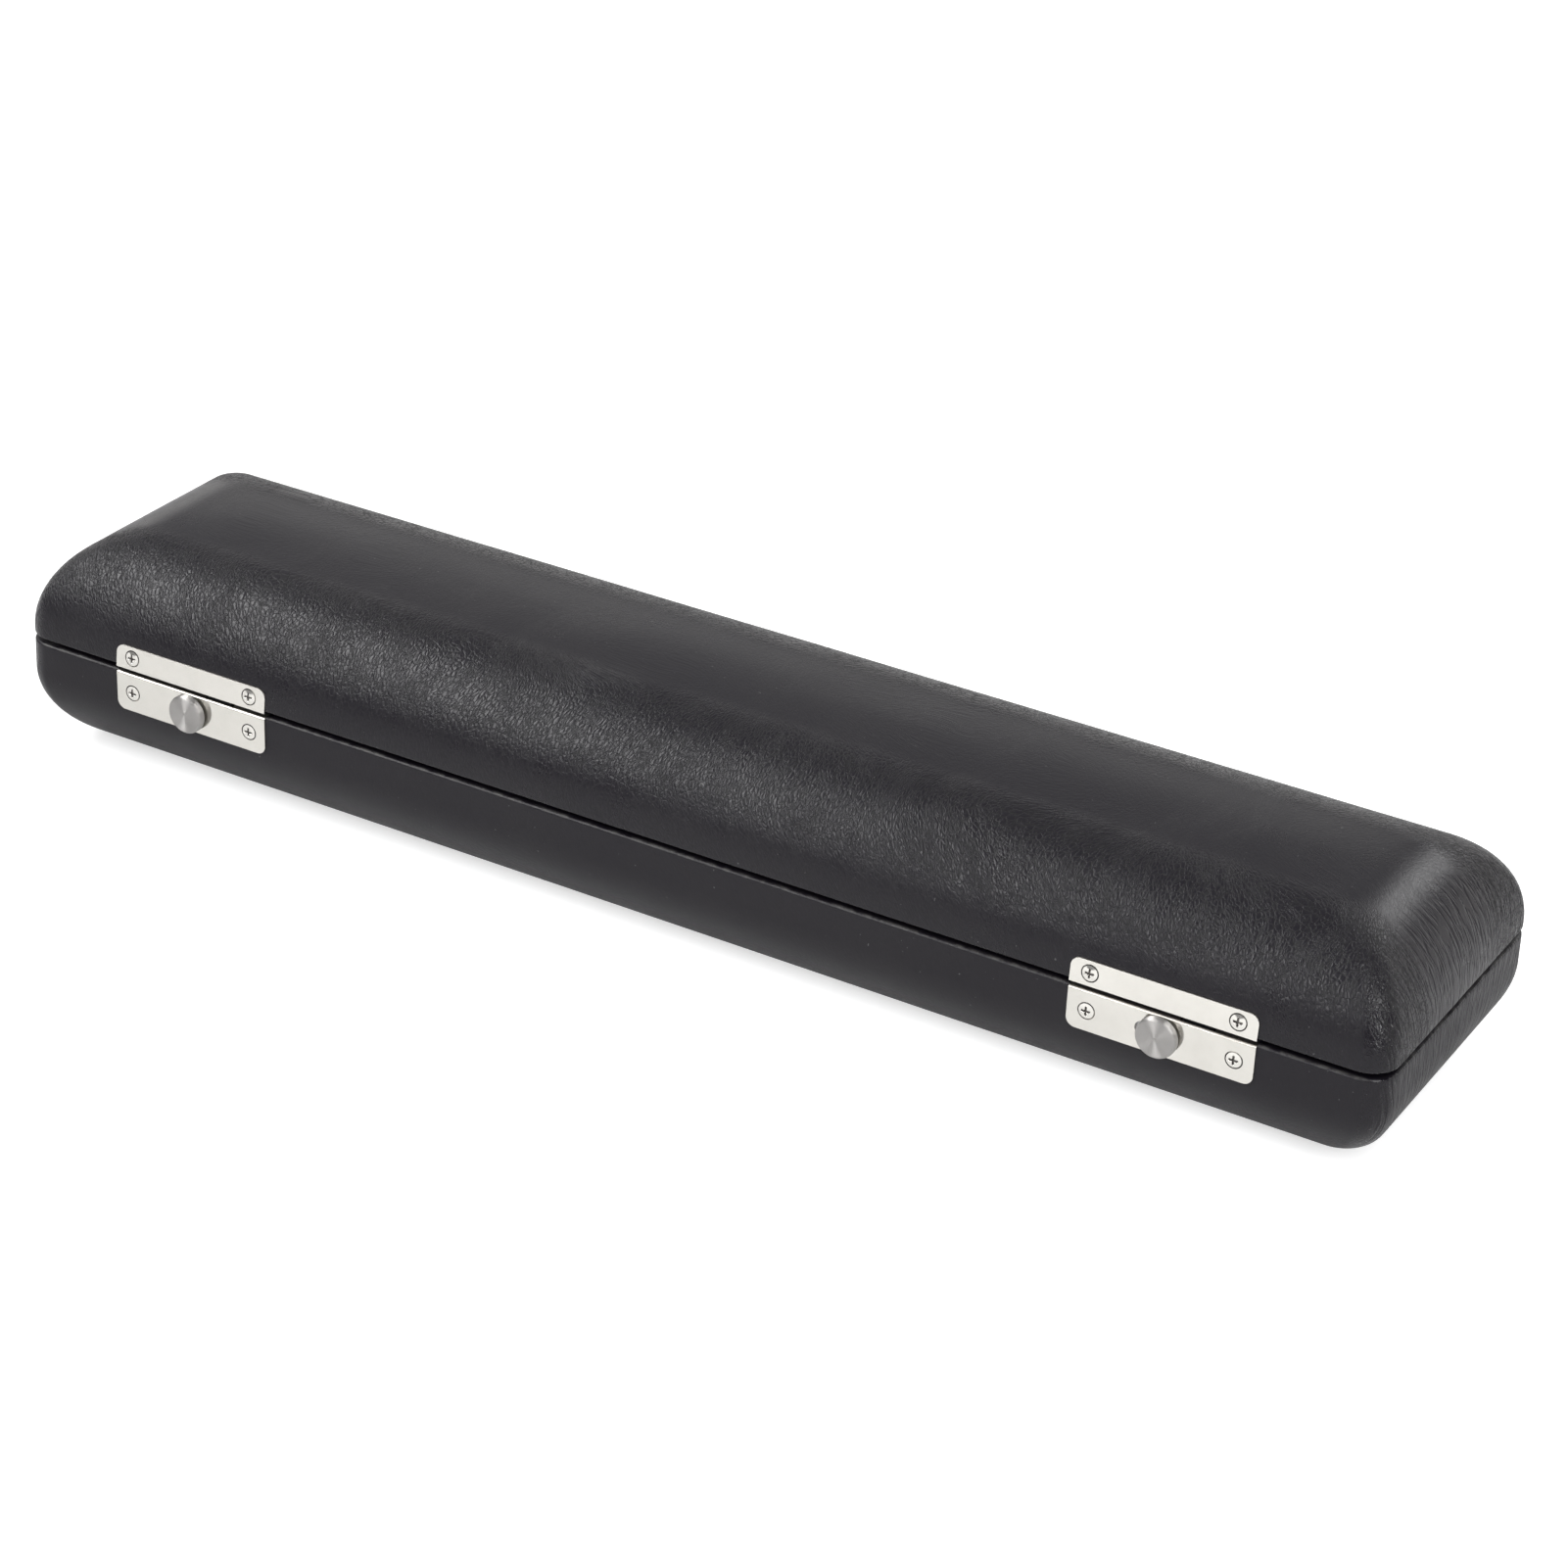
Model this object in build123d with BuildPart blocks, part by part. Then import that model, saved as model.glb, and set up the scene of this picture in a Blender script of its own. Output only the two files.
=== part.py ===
from build123d import *
import math
import os
from dataclasses import dataclass, replace

os.makedirs("parts", exist_ok=True)

# A long, low case in two halves. All sizes are in millimetres.
# +X runs along the case to its right end, -Y is the latch side, +Y the hinge side, +Z is up.
# The origin is the centre of the flat underside.

# ---- outer form
CASE_LENGTH = 400.0
CASE_WIDTH = 90.0
BASE_HEIGHT = 31.0  # underside to the base's rim
LID_HEIGHT = 27.6  # the lid's rim to its crown
PARTING_GAP = 1.3  # between the two rims
RIM_CORNER_RADIUS = 8.0  # upright corners, at the rims
BASE_SIDE_STRAIGHT = 8.8  # upright band next to the rim, before the arc starts
BASE_SIDE_REACH = 22.2  # how far the arc runs in, from the wall to the flat face
BASE_END_STRAIGHT = 8.1
BASE_END_REACH = 22.9
LID_SIDE_STRAIGHT = 0.8
LID_SIDE_REACH = 26.8
LID_END_STRAIGHT = 1.8
LID_END_REACH = 25.8

# ---- walls, from outside to inside
COVER_THICKNESS = 0.9
SHELL_THICKNESS = 3.2
SEAT_GAP = 0.25  # glue line between layers
LID_PAD_THICKNESS = 3.0
LINING_THICKNESS = 1.5
BOTTOM_PANEL_MARGIN = 3.0  # flat left around the bottom panel
BOTTOM_PANEL_CORNER_RADIUS = 5.0

# ---- alignment lip
LIP_THICKNESS = 1.5
LIP_RISE = 3.5  # above the parting plane
LIP_DROP = 8.6  # below the parting plane
LIP_LID_CLEARANCE = 0.95  # between the lip and the lid's wall, at the rim
LIP_TOP_ROUND = 0.6
LID_LINING_CLEARANCE = 0.7  # above the lip

# ---- wells for the three joints of the flute
TRAY_DEPTH = 3.0  # the lining's top below the base's rim
WELL_DEPTH = 19.0
WELL_FLOOR_ROUND = 8.0
WELL_CORNER_RADIUS = 10.0
WELL_SIDE_RAIL = 12.0  # the case's front and back to the wells
FRONT_END_RAIL = 25.0  # the case's ends to the body well
REAR_END_RAIL = 19.0  # the case's ends to the head and the foot wells
FOOT_WELL_LENGTH = 128.0
REAR_WELL_WIDTH = 28.0
LONG_RIB = 5.0  # between the front and the rear wells
CROSS_RIB = 6.0  # between the head and the foot wells

# ---- latches
LATCH_END_INSET = 57.0  # the case's ends to the middles of the latches
PLATE_LENGTH = 49.0
PLATE_THICKNESS = 0.8
PLATE_SINK = 0.3  # plates and leaves are pressed this far into the covering
PLATE_CORNER_RADIUS = 2.5
PLATE_BEND_RADIUS = 0.7
LATCH_PLATE_HEIGHT = 10.95
STRIKE_PLATE_HEIGHT = 6.4
PLATE_RIM_STEP = 0.2  # the latch plate's top below the rim, the strike plate's edge below its own
FLANGE_DEPTH = 3.2  # the latch plate's bent edge, in over the rim
PLATE_FIT = 0.05  # around plates and housings in their pockets

BOLT_DROP = 6.1  # bolt centre below the parting plane
LATCH_TRAVEL = 4.5
BOLT_THICKNESS = 1.2
BOLT_HEIGHT = 5.2
BOLT_TAIL = 10.0  # bolt centre to its spring end
BOLT_SHOULDER = 3.5  # bolt centre to the foot of its nose
BOLT_CLEARANCE = 0.15  # behind the latch plate
NOSE_HEIGHT = 3.2
NOSE_BITE = 2.6  # how far the nose reaches into the keeper at rest
NOSE_CHAMFER = 1.2

KNOB_RADIUS = 5.35
KNOB_HEIGHT = 2.2
KNOB_STANDOFF = 0.5  # under the head
KNOB_RIM_ROUND = 0.6
NECK_RADIUS = 1.9
NECK_CLEARANCE = 0.1
RIVET_RADIUS = 1.2
RIVET_CLEARANCE = 0.05

KEEPER_LEFT = 5.0  # bolt centre to the keeper's near edge
KEEPER_WIDTH = 8.0
KEEPER_THICKNESS = 1.2
KEEPER_SETBACK = 0.4  # behind the latch plate
KEEPER_TIP_DROP = 4.0  # below the bolt's centre
KEEPER_CHAMFER = 1.7
KEEPER_ROOT = 5.0  # how far it runs up behind the strike plate
KEEPER_NOTCH_DEPTH = 3.2
KEEPER_NOTCH_CLEARANCE = 0.3
KEEPER_SLOT_CLEARANCE = 0.5

HOUSING_LENGTH = 34.0
HOUSING_DEPTH = 2.9
HOUSING_WALL = 0.5
HOUSING_ABOVE = 3.7  # bolt centre to the housing's top
HOUSING_BELOW = 4.9

SPRING_RADIUS = 0.9  # to the middle of the wire
SPRING_WIRE_RADIUS = 0.15
SPRING_TURNS = 6
SPRING_END_GAP = 0.05

# ---- screws
SCREW_SPACING = 38.6  # on the latch and strike plates
HINGE_SCREW_SPACING = 15.0
SCREW_HEAD_RADIUS = 2.1
SCREW_HEAD_CONE = 0.7
SCREW_HEAD_DOME = 0.35
SCREW_SHANK_RADIUS = 1.0
SCREW_LENGTH = 4.0  # under the head's rim
SCREW_CLEARANCE = 0.05
SCREW_TIP_CLEARANCE = 0.2
RECESS_LENGTH = 2.4  # cross recess
RECESS_WIDTH = 0.55
RECESS_DEPTH = 0.6

# ---- hinges
HINGE_END_INSET = 57.0  # the case's ends to the middles of the hinges
HINGE_LENGTH = 26.0
HINGE_LEAF_THICKNESS = 1.0
HINGE_LEAF_HEIGHT = 8.0
HINGE_CORNER_RADIUS = 1.5
BARREL_RADIUS = 2.1
BARREL_OFFSET = 2.3  # pin centre behind the case's back
LID_KNUCKLE_LENGTH = 12.4
KNUCKLE_GAP = 0.3
HINGE_PIN_RADIUS = 1.1
HINGE_PIN_CLEARANCE = 0.05
PIN_HEAD_RADIUS = 1.6
PIN_HEAD_LENGTH = 0.6

# ---- worked out from the sizes above
PARTING_HEIGHT = BASE_HEIGHT + PARTING_GAP / 2
LID_RIM = BASE_HEIGHT + PARTING_GAP
CASE_HEIGHT = LID_RIM + LID_HEIGHT
SHELL_OUTER = COVER_THICKNESS + SEAT_GAP  # insets from the outer surface
SHELL_INNER = SHELL_OUTER + SHELL_THICKNESS
LIP_OUTER = SHELL_INNER + SEAT_GAP
LIP_UPPER = SHELL_INNER + LIP_LID_CLEARANCE
LIP_INNER = LIP_UPPER + LIP_THICKNESS
TRAY_EDGE = LIP_INNER + SEAT_GAP
LID_PAD_OUTER = SHELL_INNER + SEAT_GAP
LID_PAD_INNER = LID_PAD_OUTER + LID_PAD_THICKNESS
LID_LINING_OUTER = LID_PAD_INNER + SEAT_GAP
LID_LINING_INNER = LID_LINING_OUTER + LINING_THICKNESS
LID_LINING_FOOT = PARTING_HEIGHT + LIP_RISE + LID_LINING_CLEARANCE
LINING_TOP = BASE_HEIGHT - TRAY_DEPTH
INSERT_TOP = LINING_TOP - LINING_THICKNESS - SEAT_GAP
PLATE_BACK = CASE_WIDTH / 2 - PLATE_SINK  # distance of plate backs from the middle plane
PLATE_TOP = BASE_HEIGHT - PLATE_RIM_STEP
BOLT_LEVEL = PARTING_HEIGHT - BOLT_DROP
BOLT_FRONT = PLATE_BACK - BOLT_CLEARANCE
KEEPER_FRONT = PLATE_BACK - KEEPER_SETBACK
KEEPER_MIDDLE = KEEPER_LEFT + KEEPER_WIDTH / 2
HINGE_AXIS_Y = CASE_WIDTH / 2 + BARREL_OFFSET
LATCH_X = CASE_LENGTH / 2 - LATCH_END_INSET
HINGE_X = CASE_LENGTH / 2 - HINGE_END_INSET
STATIONS = {"left": -LATCH_X, "right": LATCH_X}
HINGE_STATIONS = {"left": -HINGE_X, "right": HINGE_X}
BODY_WELL_LENGTH = CASE_LENGTH - 2 * FRONT_END_RAIL
HEAD_WELL_LENGTH = CASE_LENGTH - 2 * REAR_END_RAIL - CROSS_RIB - FOOT_WELL_LENGTH
WELLS_SPAN = CASE_WIDTH - 2 * WELL_SIDE_RAIL
BODY_WELL_WIDTH = WELLS_SPAN - LONG_RIB - REAR_WELL_WIDTH
LOW = (Align.CENTER, Align.MIN)
HIGH = (Align.CENTER, Align.MAX)
FRONT, BACK = -1, 1


@dataclass(frozen=True)
class Half:
    """One half of the case: its rim, and the arcs from the rim to its flat face."""

    rim: float
    depth: float
    up: int  # 1 where it rises from its rim, -1 where it hangs from it
    side_straight: float
    side_reach: float
    end_straight: float
    end_reach: float


BASE = Half(
    rim=BASE_HEIGHT,
    depth=BASE_HEIGHT,
    up=-1,
    side_straight=BASE_SIDE_STRAIGHT,
    side_reach=BASE_SIDE_REACH,
    end_straight=BASE_END_STRAIGHT,
    end_reach=BASE_END_REACH,
)
LID = Half(
    rim=LID_RIM,
    depth=LID_HEIGHT,
    up=1,
    side_straight=LID_SIDE_STRAIGHT,
    side_reach=LID_SIDE_REACH,
    end_straight=LID_END_STRAIGHT,
    end_reach=LID_END_REACH,
)


# ---- shared geometry
def rounded_plan(height, length, width, radius):
    """A level rounded rectangle."""
    with BuildSketch(Plane.XY.offset(height)) as plan:
        RectangleRounded(length, width, radius)
    return plan.sketch


def rim_plan(height, inset):
    """The rim's outline, set in by inset."""
    return rounded_plan(
        height,
        CASE_LENGTH - 2 * inset,
        CASE_WIDTH - 2 * inset,
        RIM_CORNER_RADIUS / (1 + inset / RIM_CORNER_RADIUS),
    )


def arc_profile(plane, half, half_width, straight, reach):
    """A half's outline on an upright plane: straight band, arc and flat face, both sides."""
    flat_level = half.rim + half.up * half.depth
    arc_level = half.rim + half.up * straight
    with BuildSketch(plane) as profile:
        with BuildLine():
            for side in (-1, 1):
                wall = side * half_width
                flat_end = (side * (half_width - reach), flat_level)
                if straight:
                    Line((wall, half.rim), (wall, arc_level))
                if reach < half.depth - straight:
                    TangentArc((wall, arc_level), flat_end, tangent=(0, half.up))
                else:
                    TangentArc(flat_end, (wall, arc_level), tangent=(side, 0))
            Line((reach - half_width, flat_level), (half_width - reach, flat_level))
            Line((-half_width, half.rim), (half_width, half.rim))
        make_face()
    return profile.sketch


def side_lean(half, height):
    """How far a half's front and back walls lean at a height from the rim, in degrees."""
    rise = half.depth - half.side_straight
    reach = half.side_reach
    radius = (rise**2 + reach**2) / (2 * min(rise, reach))
    centre = half.side_straight + min(rise - radius, 0)
    return math.degrees(math.asin(max(height - centre, 0) / radius))


def half_solid(half, inset):
    """The solid inside one half's surface, set in by inset."""
    inner = replace(half, depth=half.depth - inset)
    side = arc_profile(
        Plane.YZ, inner, CASE_WIDTH / 2 - inset, half.side_straight, half.side_reach - inset
    )
    end = arc_profile(
        Plane.XZ, inner, CASE_LENGTH / 2 - inset, half.end_straight, half.end_reach - inset
    )
    with BuildPart() as form:
        extrude(rim_plan(half.rim, inset), amount=half.up * inner.depth)
        extrude(side, amount=CASE_LENGTH, both=True, mode=Mode.INTERSECT)
        extrude(end, amount=CASE_WIDTH, both=True, mode=Mode.INTERSECT)
    return form.part


LID_WALL_LEAN = side_lean(LID, STRIKE_PLATE_HEIGHT / 2)


def cut_level(low, high):
    """Cuts away everything between two levels."""
    with Locations((0, 0, low)):
        Box(
            2 * CASE_LENGTH, 2 * CASE_WIDTH, high - low,
            align=(Align.CENTER, Align.CENTER, Align.MIN), mode=Mode.SUBTRACT,
        )


def wall_plane(side, x, level, depth=PLATE_BACK, lean=0.0):
    """A plane on the front or back wall that faces outwards, its local y running up the wall."""
    angle = math.radians(lean)
    return Plane(
        origin=(x, side * depth, level),
        x_dir=(-side, 0, 0),
        z_dir=(0, side * math.cos(angle), math.sin(angle)),
    )


def latch_wall(x):
    """The latch plate's back, from the plate's top."""
    return wall_plane(FRONT, x, PLATE_TOP)


def strike_wall(x):
    """The strike plate's back, from the lid's rim."""
    return wall_plane(FRONT, x, LID_RIM, lean=LID_WALL_LEAN)


def base_leaf_wall(x):
    """The base leaf's back, from the base's rim."""
    return wall_plane(BACK, x, BASE_HEIGHT)


def lid_leaf_wall(x):
    """The lid leaf's back, from the lid's rim."""
    return wall_plane(BACK, x, LID_RIM, lean=LID_WALL_LEAN)


def bolt_wall(x, depth=PLATE_BACK):
    """The bolt's centre, at a distance from the middle plane."""
    return wall_plane(FRONT, x, BOLT_LEVEL, depth)


# screw places: the plane they lie on, their height on it, and their spacing
LATCH_SCREWS = (latch_wall, -LATCH_PLATE_HEIGHT / 2, SCREW_SPACING, PLATE_THICKNESS)
STRIKE_SCREWS = (strike_wall, STRIKE_PLATE_HEIGHT / 2, SCREW_SPACING, PLATE_THICKNESS)
BASE_HINGE_SCREWS = (
    base_leaf_wall, -HINGE_LEAF_HEIGHT / 2, HINGE_SCREW_SPACING, HINGE_LEAF_THICKNESS
)
LID_HINGE_SCREWS = (
    lid_leaf_wall, HINGE_LEAF_HEIGHT / 2, HINGE_SCREW_SPACING, HINGE_LEAF_THICKNESS
)


def screw_spots(screws, stations):
    """The planes on which each screw's head seats, facing outwards."""
    wall, height, spacing, thickness = screws
    for x in stations:
        for offset in (-spacing / 2, spacing / 2):
            yield wall(x) * Pos(offset, height, thickness)


def drill_screw_holes(screws, stations):
    """Cuts blind holes for the screws' shanks."""
    with Locations(*screw_spots(screws, stations)):
        Hole(SCREW_SHANK_RADIUS + SCREW_CLEARANCE, SCREW_LENGTH + SCREW_TIP_CLEARANCE)


def sink_screw_heads(screws, x):
    """Cuts countersunk holes through a plate or leaf."""
    angle = 2 * math.degrees(math.atan((SCREW_HEAD_RADIUS - SCREW_SHANK_RADIUS) / SCREW_HEAD_CONE))
    with Locations(*screw_spots(screws, [x])):
        CounterSinkHole(
            SCREW_SHANK_RADIUS + SCREW_CLEARANCE,
            SCREW_HEAD_RADIUS + SCREW_CLEARANCE,
            depth=screws[-1],
            counter_sink_angle=angle,
        )


def press_pocket(plane, length, low, high):
    """Cuts the covering away outside the back of a plate that spans low to high on its plane."""
    with Locations(plane * Pos(0, low - PLATE_FIT, -PLATE_FIT)):
        Box(
            length + 2 * PLATE_FIT, high - low + 2 * PLATE_FIT, 2 * COVER_THICKNESS + PLATE_FIT,
            align=(Align.CENTER, Align.MIN, Align.MIN), mode=Mode.SUBTRACT,
        )


def cut_mortise(x):
    """Cuts the latch housing's pocket, open at the rim."""
    bottom = BOLT_LEVEL - HOUSING_BELOW - PLATE_FIT
    with Locations((x, PLATE_FIT + HOUSING_DEPTH - PLATE_BACK, bottom)):
        Box(
            HOUSING_LENGTH + 2 * PLATE_FIT, 2 * HOUSING_DEPTH, BASE_HEIGHT - bottom,
            align=(Align.CENTER, Align.MAX, Align.MIN), mode=Mode.SUBTRACT,
        )


def cut_keeper_pocket(x):
    """Cuts room for the keeper's root in the lid's wall."""
    with Locations((x + KEEPER_MIDDLE, PLATE_FIT + KEEPER_THICKNESS - KEEPER_FRONT, LID_RIM)):
        Box(
            KEEPER_WIDTH + 2 * PLATE_FIT, 2 * SHELL_INNER, KEEPER_ROOT + PLATE_FIT,
            align=(Align.CENTER, Align.MAX, Align.MIN), mode=Mode.SUBTRACT,
        )


def finish(part, name):
    """Names a piece and writes it."""
    part.label = name
    export_step(part, f"parts/{name}.step")


# ---- base: shell, covering and bottom panel
BASE_SHELL_OUTSIDE = half_solid(BASE, SHELL_OUTER)
BASE_SHELL_INSIDE = half_solid(BASE, SHELL_INNER)
with BuildPart() as base_shell:
    add(BASE_SHELL_OUTSIDE)
    add(BASE_SHELL_INSIDE, mode=Mode.SUBTRACT)
    cut_level(BASE_HEIGHT - SHELL_OUTER, CASE_HEIGHT)
    for x in STATIONS.values():
        cut_mortise(x)
    drill_screw_holes(LATCH_SCREWS, STATIONS.values())
    drill_screw_holes(BASE_HINGE_SCREWS, HINGE_STATIONS.values())
finish(base_shell.part, "base_shell")


def panel_plan(grow):
    """The bottom panel's outline on the flat underside, grown by grow."""
    return rounded_plan(
        0,
        CASE_LENGTH - 2 * (BASE_END_REACH + BOTTOM_PANEL_MARGIN - grow),
        CASE_WIDTH - 2 * (BASE_SIDE_REACH + BOTTOM_PANEL_MARGIN - grow),
        BOTTOM_PANEL_CORNER_RADIUS + grow,
    )


BASE_OUTSIDE = half_solid(BASE, 0)
BASE_COVER_INSIDE = half_solid(BASE, COVER_THICKNESS)
with BuildPart() as base_cover_hollow:
    add(BASE_COVER_INSIDE)
    cut_level(BASE_HEIGHT - COVER_THICKNESS, CASE_HEIGHT)
with BuildPart() as base_cover:
    add(BASE_OUTSIDE)
    add(base_cover_hollow.part, mode=Mode.SUBTRACT)
    extrude(rim_plan(BASE_HEIGHT, SHELL_INNER), amount=-COVER_THICKNESS, mode=Mode.SUBTRACT)
    extrude(panel_plan(SEAT_GAP), amount=COVER_THICKNESS, mode=Mode.SUBTRACT)
    for x in STATIONS.values():
        cut_mortise(x)
        press_pocket(latch_wall(x), PLATE_LENGTH, -LATCH_PLATE_HEIGHT, PLATE_RIM_STEP)
        with Locations((x, PLATE_FIT + FLANGE_DEPTH - PLATE_BACK, BASE_HEIGHT)):
            Box(
                PLATE_LENGTH + 2 * PLATE_FIT,
                2 * FLANGE_DEPTH,
                PLATE_RIM_STEP + PLATE_THICKNESS + PLATE_FIT,
                align=(Align.CENTER, Align.MAX, Align.MAX),
                mode=Mode.SUBTRACT,
            )
    for x in HINGE_STATIONS.values():
        press_pocket(base_leaf_wall(x), HINGE_LENGTH, -HINGE_LEAF_HEIGHT, 0)
    drill_screw_holes(LATCH_SCREWS, STATIONS.values())
    drill_screw_holes(BASE_HINGE_SCREWS, HINGE_STATIONS.values())
finish(base_cover.part, "base_cover")

with BuildPart() as bottom_panel:
    extrude(panel_plan(0), amount=COVER_THICKNESS)
finish(bottom_panel.part, "bottom_panel")

# ---- base: lip, insert and lining
with BuildPart() as rim_lip:
    foot = PARTING_HEIGHT - LIP_DROP
    top = PARTING_HEIGHT + LIP_RISE
    extrude(rim_plan(foot, LIP_OUTER), amount=BASE_HEIGHT - foot)
    extrude(rim_plan(BASE_HEIGHT, LIP_UPPER), amount=top - BASE_HEIGHT)
    extrude(rim_plan(foot, LIP_INNER), amount=top - foot, mode=Mode.SUBTRACT)
    fillet(rim_lip.edges().group_by(Axis.Z)[-1], LIP_TOP_ROUND)
finish(rim_lip.part, "rim_lip")

FRONT_WELL_Y = (BODY_WELL_WIDTH - WELLS_SPAN) / 2
REAR_WELL_Y = (WELLS_SPAN - REAR_WELL_WIDTH) / 2
REAR_SPAN = HEAD_WELL_LENGTH + CROSS_RIB + FOOT_WELL_LENGTH
WELLS = [  # centre x, centre y, length, width
    (0, FRONT_WELL_Y, BODY_WELL_LENGTH, BODY_WELL_WIDTH),
    ((HEAD_WELL_LENGTH - REAR_SPAN) / 2, REAR_WELL_Y, HEAD_WELL_LENGTH, REAR_WELL_WIDTH),
    ((REAR_SPAN - FOOT_WELL_LENGTH) / 2, REAR_WELL_Y, FOOT_WELL_LENGTH, REAR_WELL_WIDTH),
]


def wells(grow, top):
    """The three wells as solids up to a level, grown by grow at their sides and floors."""
    floor = LINING_TOP - WELL_DEPTH - grow
    with BuildPart() as hollows:
        for x, y, length, width in WELLS:
            with BuildSketch(Plane.XY.offset(floor)):
                with Locations((x, y)):
                    RectangleRounded(length + 2 * grow, width + 2 * grow, WELL_CORNER_RADIUS + grow)
        extrude(amount=top - floor)
        fillet(hollows.edges().group_by(Axis.Z)[0], WELL_FLOOR_ROUND + grow)
    return hollows.part


BASE_ROOM = half_solid(BASE, LIP_OUTER)
INSERT_WELLS = wells(LINING_THICKNESS + SEAT_GAP, BASE_HEIGHT)
with BuildPart() as base_insert:
    add(BASE_ROOM)
    extrude(rim_plan(0, TRAY_EDGE), amount=INSERT_TOP, mode=Mode.INTERSECT)
    add(INSERT_WELLS, mode=Mode.SUBTRACT)
finish(base_insert.part, "base_insert")

LINING_WELLS = wells(LINING_THICKNESS, LINING_TOP)
OPEN_WELLS = wells(0, BASE_HEIGHT)
with BuildPart() as base_lining:
    extrude(rim_plan(LINING_TOP, TRAY_EDGE), amount=-LINING_THICKNESS)
    add(LINING_WELLS)
    add(OPEN_WELLS, mode=Mode.SUBTRACT)
finish(base_lining.part, "base_lining")

# ---- lid: shell, covering, pad and lining
LID_OUTSIDE = half_solid(LID, 0)
LID_COVER_INSIDE = half_solid(LID, COVER_THICKNESS)
LID_SHELL_OUTSIDE = half_solid(LID, SHELL_OUTER)
LID_SHELL_INSIDE = half_solid(LID, SHELL_INNER)
LID_PAD_OUTSIDE = half_solid(LID, LID_PAD_OUTER)
LID_PAD_INSIDE = half_solid(LID, LID_PAD_INNER)
LID_LINING_OUTSIDE = half_solid(LID, LID_LINING_OUTER)
LID_LINING_INSIDE = half_solid(LID, LID_LINING_INNER)
with BuildPart() as lid_shell:
    add(LID_SHELL_OUTSIDE)
    add(LID_SHELL_INSIDE, mode=Mode.SUBTRACT)
    cut_level(0, LID_RIM + SHELL_OUTER)
    for x in STATIONS.values():
        cut_keeper_pocket(x)
    drill_screw_holes(STRIKE_SCREWS, STATIONS.values())
    drill_screw_holes(LID_HINGE_SCREWS, HINGE_STATIONS.values())
finish(lid_shell.part, "lid_shell")

with BuildPart() as lid_cover_hollow:
    add(LID_COVER_INSIDE)
    cut_level(0, LID_RIM + COVER_THICKNESS)
with BuildPart() as lid_cover:
    add(LID_OUTSIDE)
    add(lid_cover_hollow.part, mode=Mode.SUBTRACT)
    extrude(rim_plan(LID_RIM, SHELL_INNER), amount=COVER_THICKNESS, mode=Mode.SUBTRACT)
    for x in STATIONS.values():
        cut_keeper_pocket(x)
        press_pocket(strike_wall(x), PLATE_LENGTH, -PLATE_RIM_STEP, STRIKE_PLATE_HEIGHT)
    for x in HINGE_STATIONS.values():
        press_pocket(lid_leaf_wall(x), HINGE_LENGTH, -PLATE_RIM_STEP, HINGE_LEAF_HEIGHT)
    drill_screw_holes(STRIKE_SCREWS, STATIONS.values())
    drill_screw_holes(LID_HINGE_SCREWS, HINGE_STATIONS.values())
finish(lid_cover.part, "lid_cover")

with BuildPart() as lid_pad:
    add(LID_PAD_OUTSIDE)
    add(LID_PAD_INSIDE, mode=Mode.SUBTRACT)
    cut_level(0, LID_LINING_FOOT + LINING_THICKNESS + SEAT_GAP)
finish(lid_pad.part, "lid_pad")

with BuildPart() as lid_lining:
    add(LID_PAD_OUTSIDE)
    cut_level(LID_LINING_FOOT + LINING_THICKNESS, CASE_HEIGHT)
    add(LID_LINING_OUTSIDE)
    add(LID_LINING_INSIDE, mode=Mode.SUBTRACT)
    cut_level(0, LID_LINING_FOOT)
finish(lid_lining.part, "lid_lining")


# ---- latches
def latch_plate(x):
    """The base's plate, bent in over the rim and slotted for the knob's neck and the keeper."""
    with BuildPart() as plate:
        with BuildSketch(latch_wall(x)) as face:
            Rectangle(PLATE_LENGTH, LATCH_PLATE_HEIGHT, align=HIGH)
            fillet(face.vertices().group_by(Axis.Y)[0], PLATE_CORNER_RADIUS)
        extrude(amount=PLATE_THICKNESS)
        with BuildSketch(Plane.XY.offset(PLATE_TOP)):
            with Locations((x, -PLATE_BACK - PLATE_THICKNESS)):
                Rectangle(PLATE_LENGTH, PLATE_THICKNESS + FLANGE_DEPTH, align=LOW)
        extrude(amount=-PLATE_THICKNESS)
        bend = plate.edges().filter_by(Axis.X).group_by(Axis.Z)[-1].sort_by(Axis.Y)[0]
        fillet(bend, PLATE_BEND_RADIUS)
        with BuildSketch(bolt_wall(x)):
            with Locations((-LATCH_TRAVEL / 2, 0)):
                SlotCenterToCenter(LATCH_TRAVEL, 2 * (NECK_RADIUS + NECK_CLEARANCE))
        extrude(amount=PLATE_THICKNESS, mode=Mode.SUBTRACT)
        with Locations((x + KEEPER_MIDDLE, -PLATE_BACK, PLATE_TOP)):
            Box(
                KEEPER_WIDTH + 2 * KEEPER_SLOT_CLEARANCE, FLANGE_DEPTH, PLATE_THICKNESS,
                align=(Align.CENTER, Align.MIN, Align.MAX), mode=Mode.SUBTRACT,
            )
        sink_screw_heads(LATCH_SCREWS, x)
    return plate.part


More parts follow.
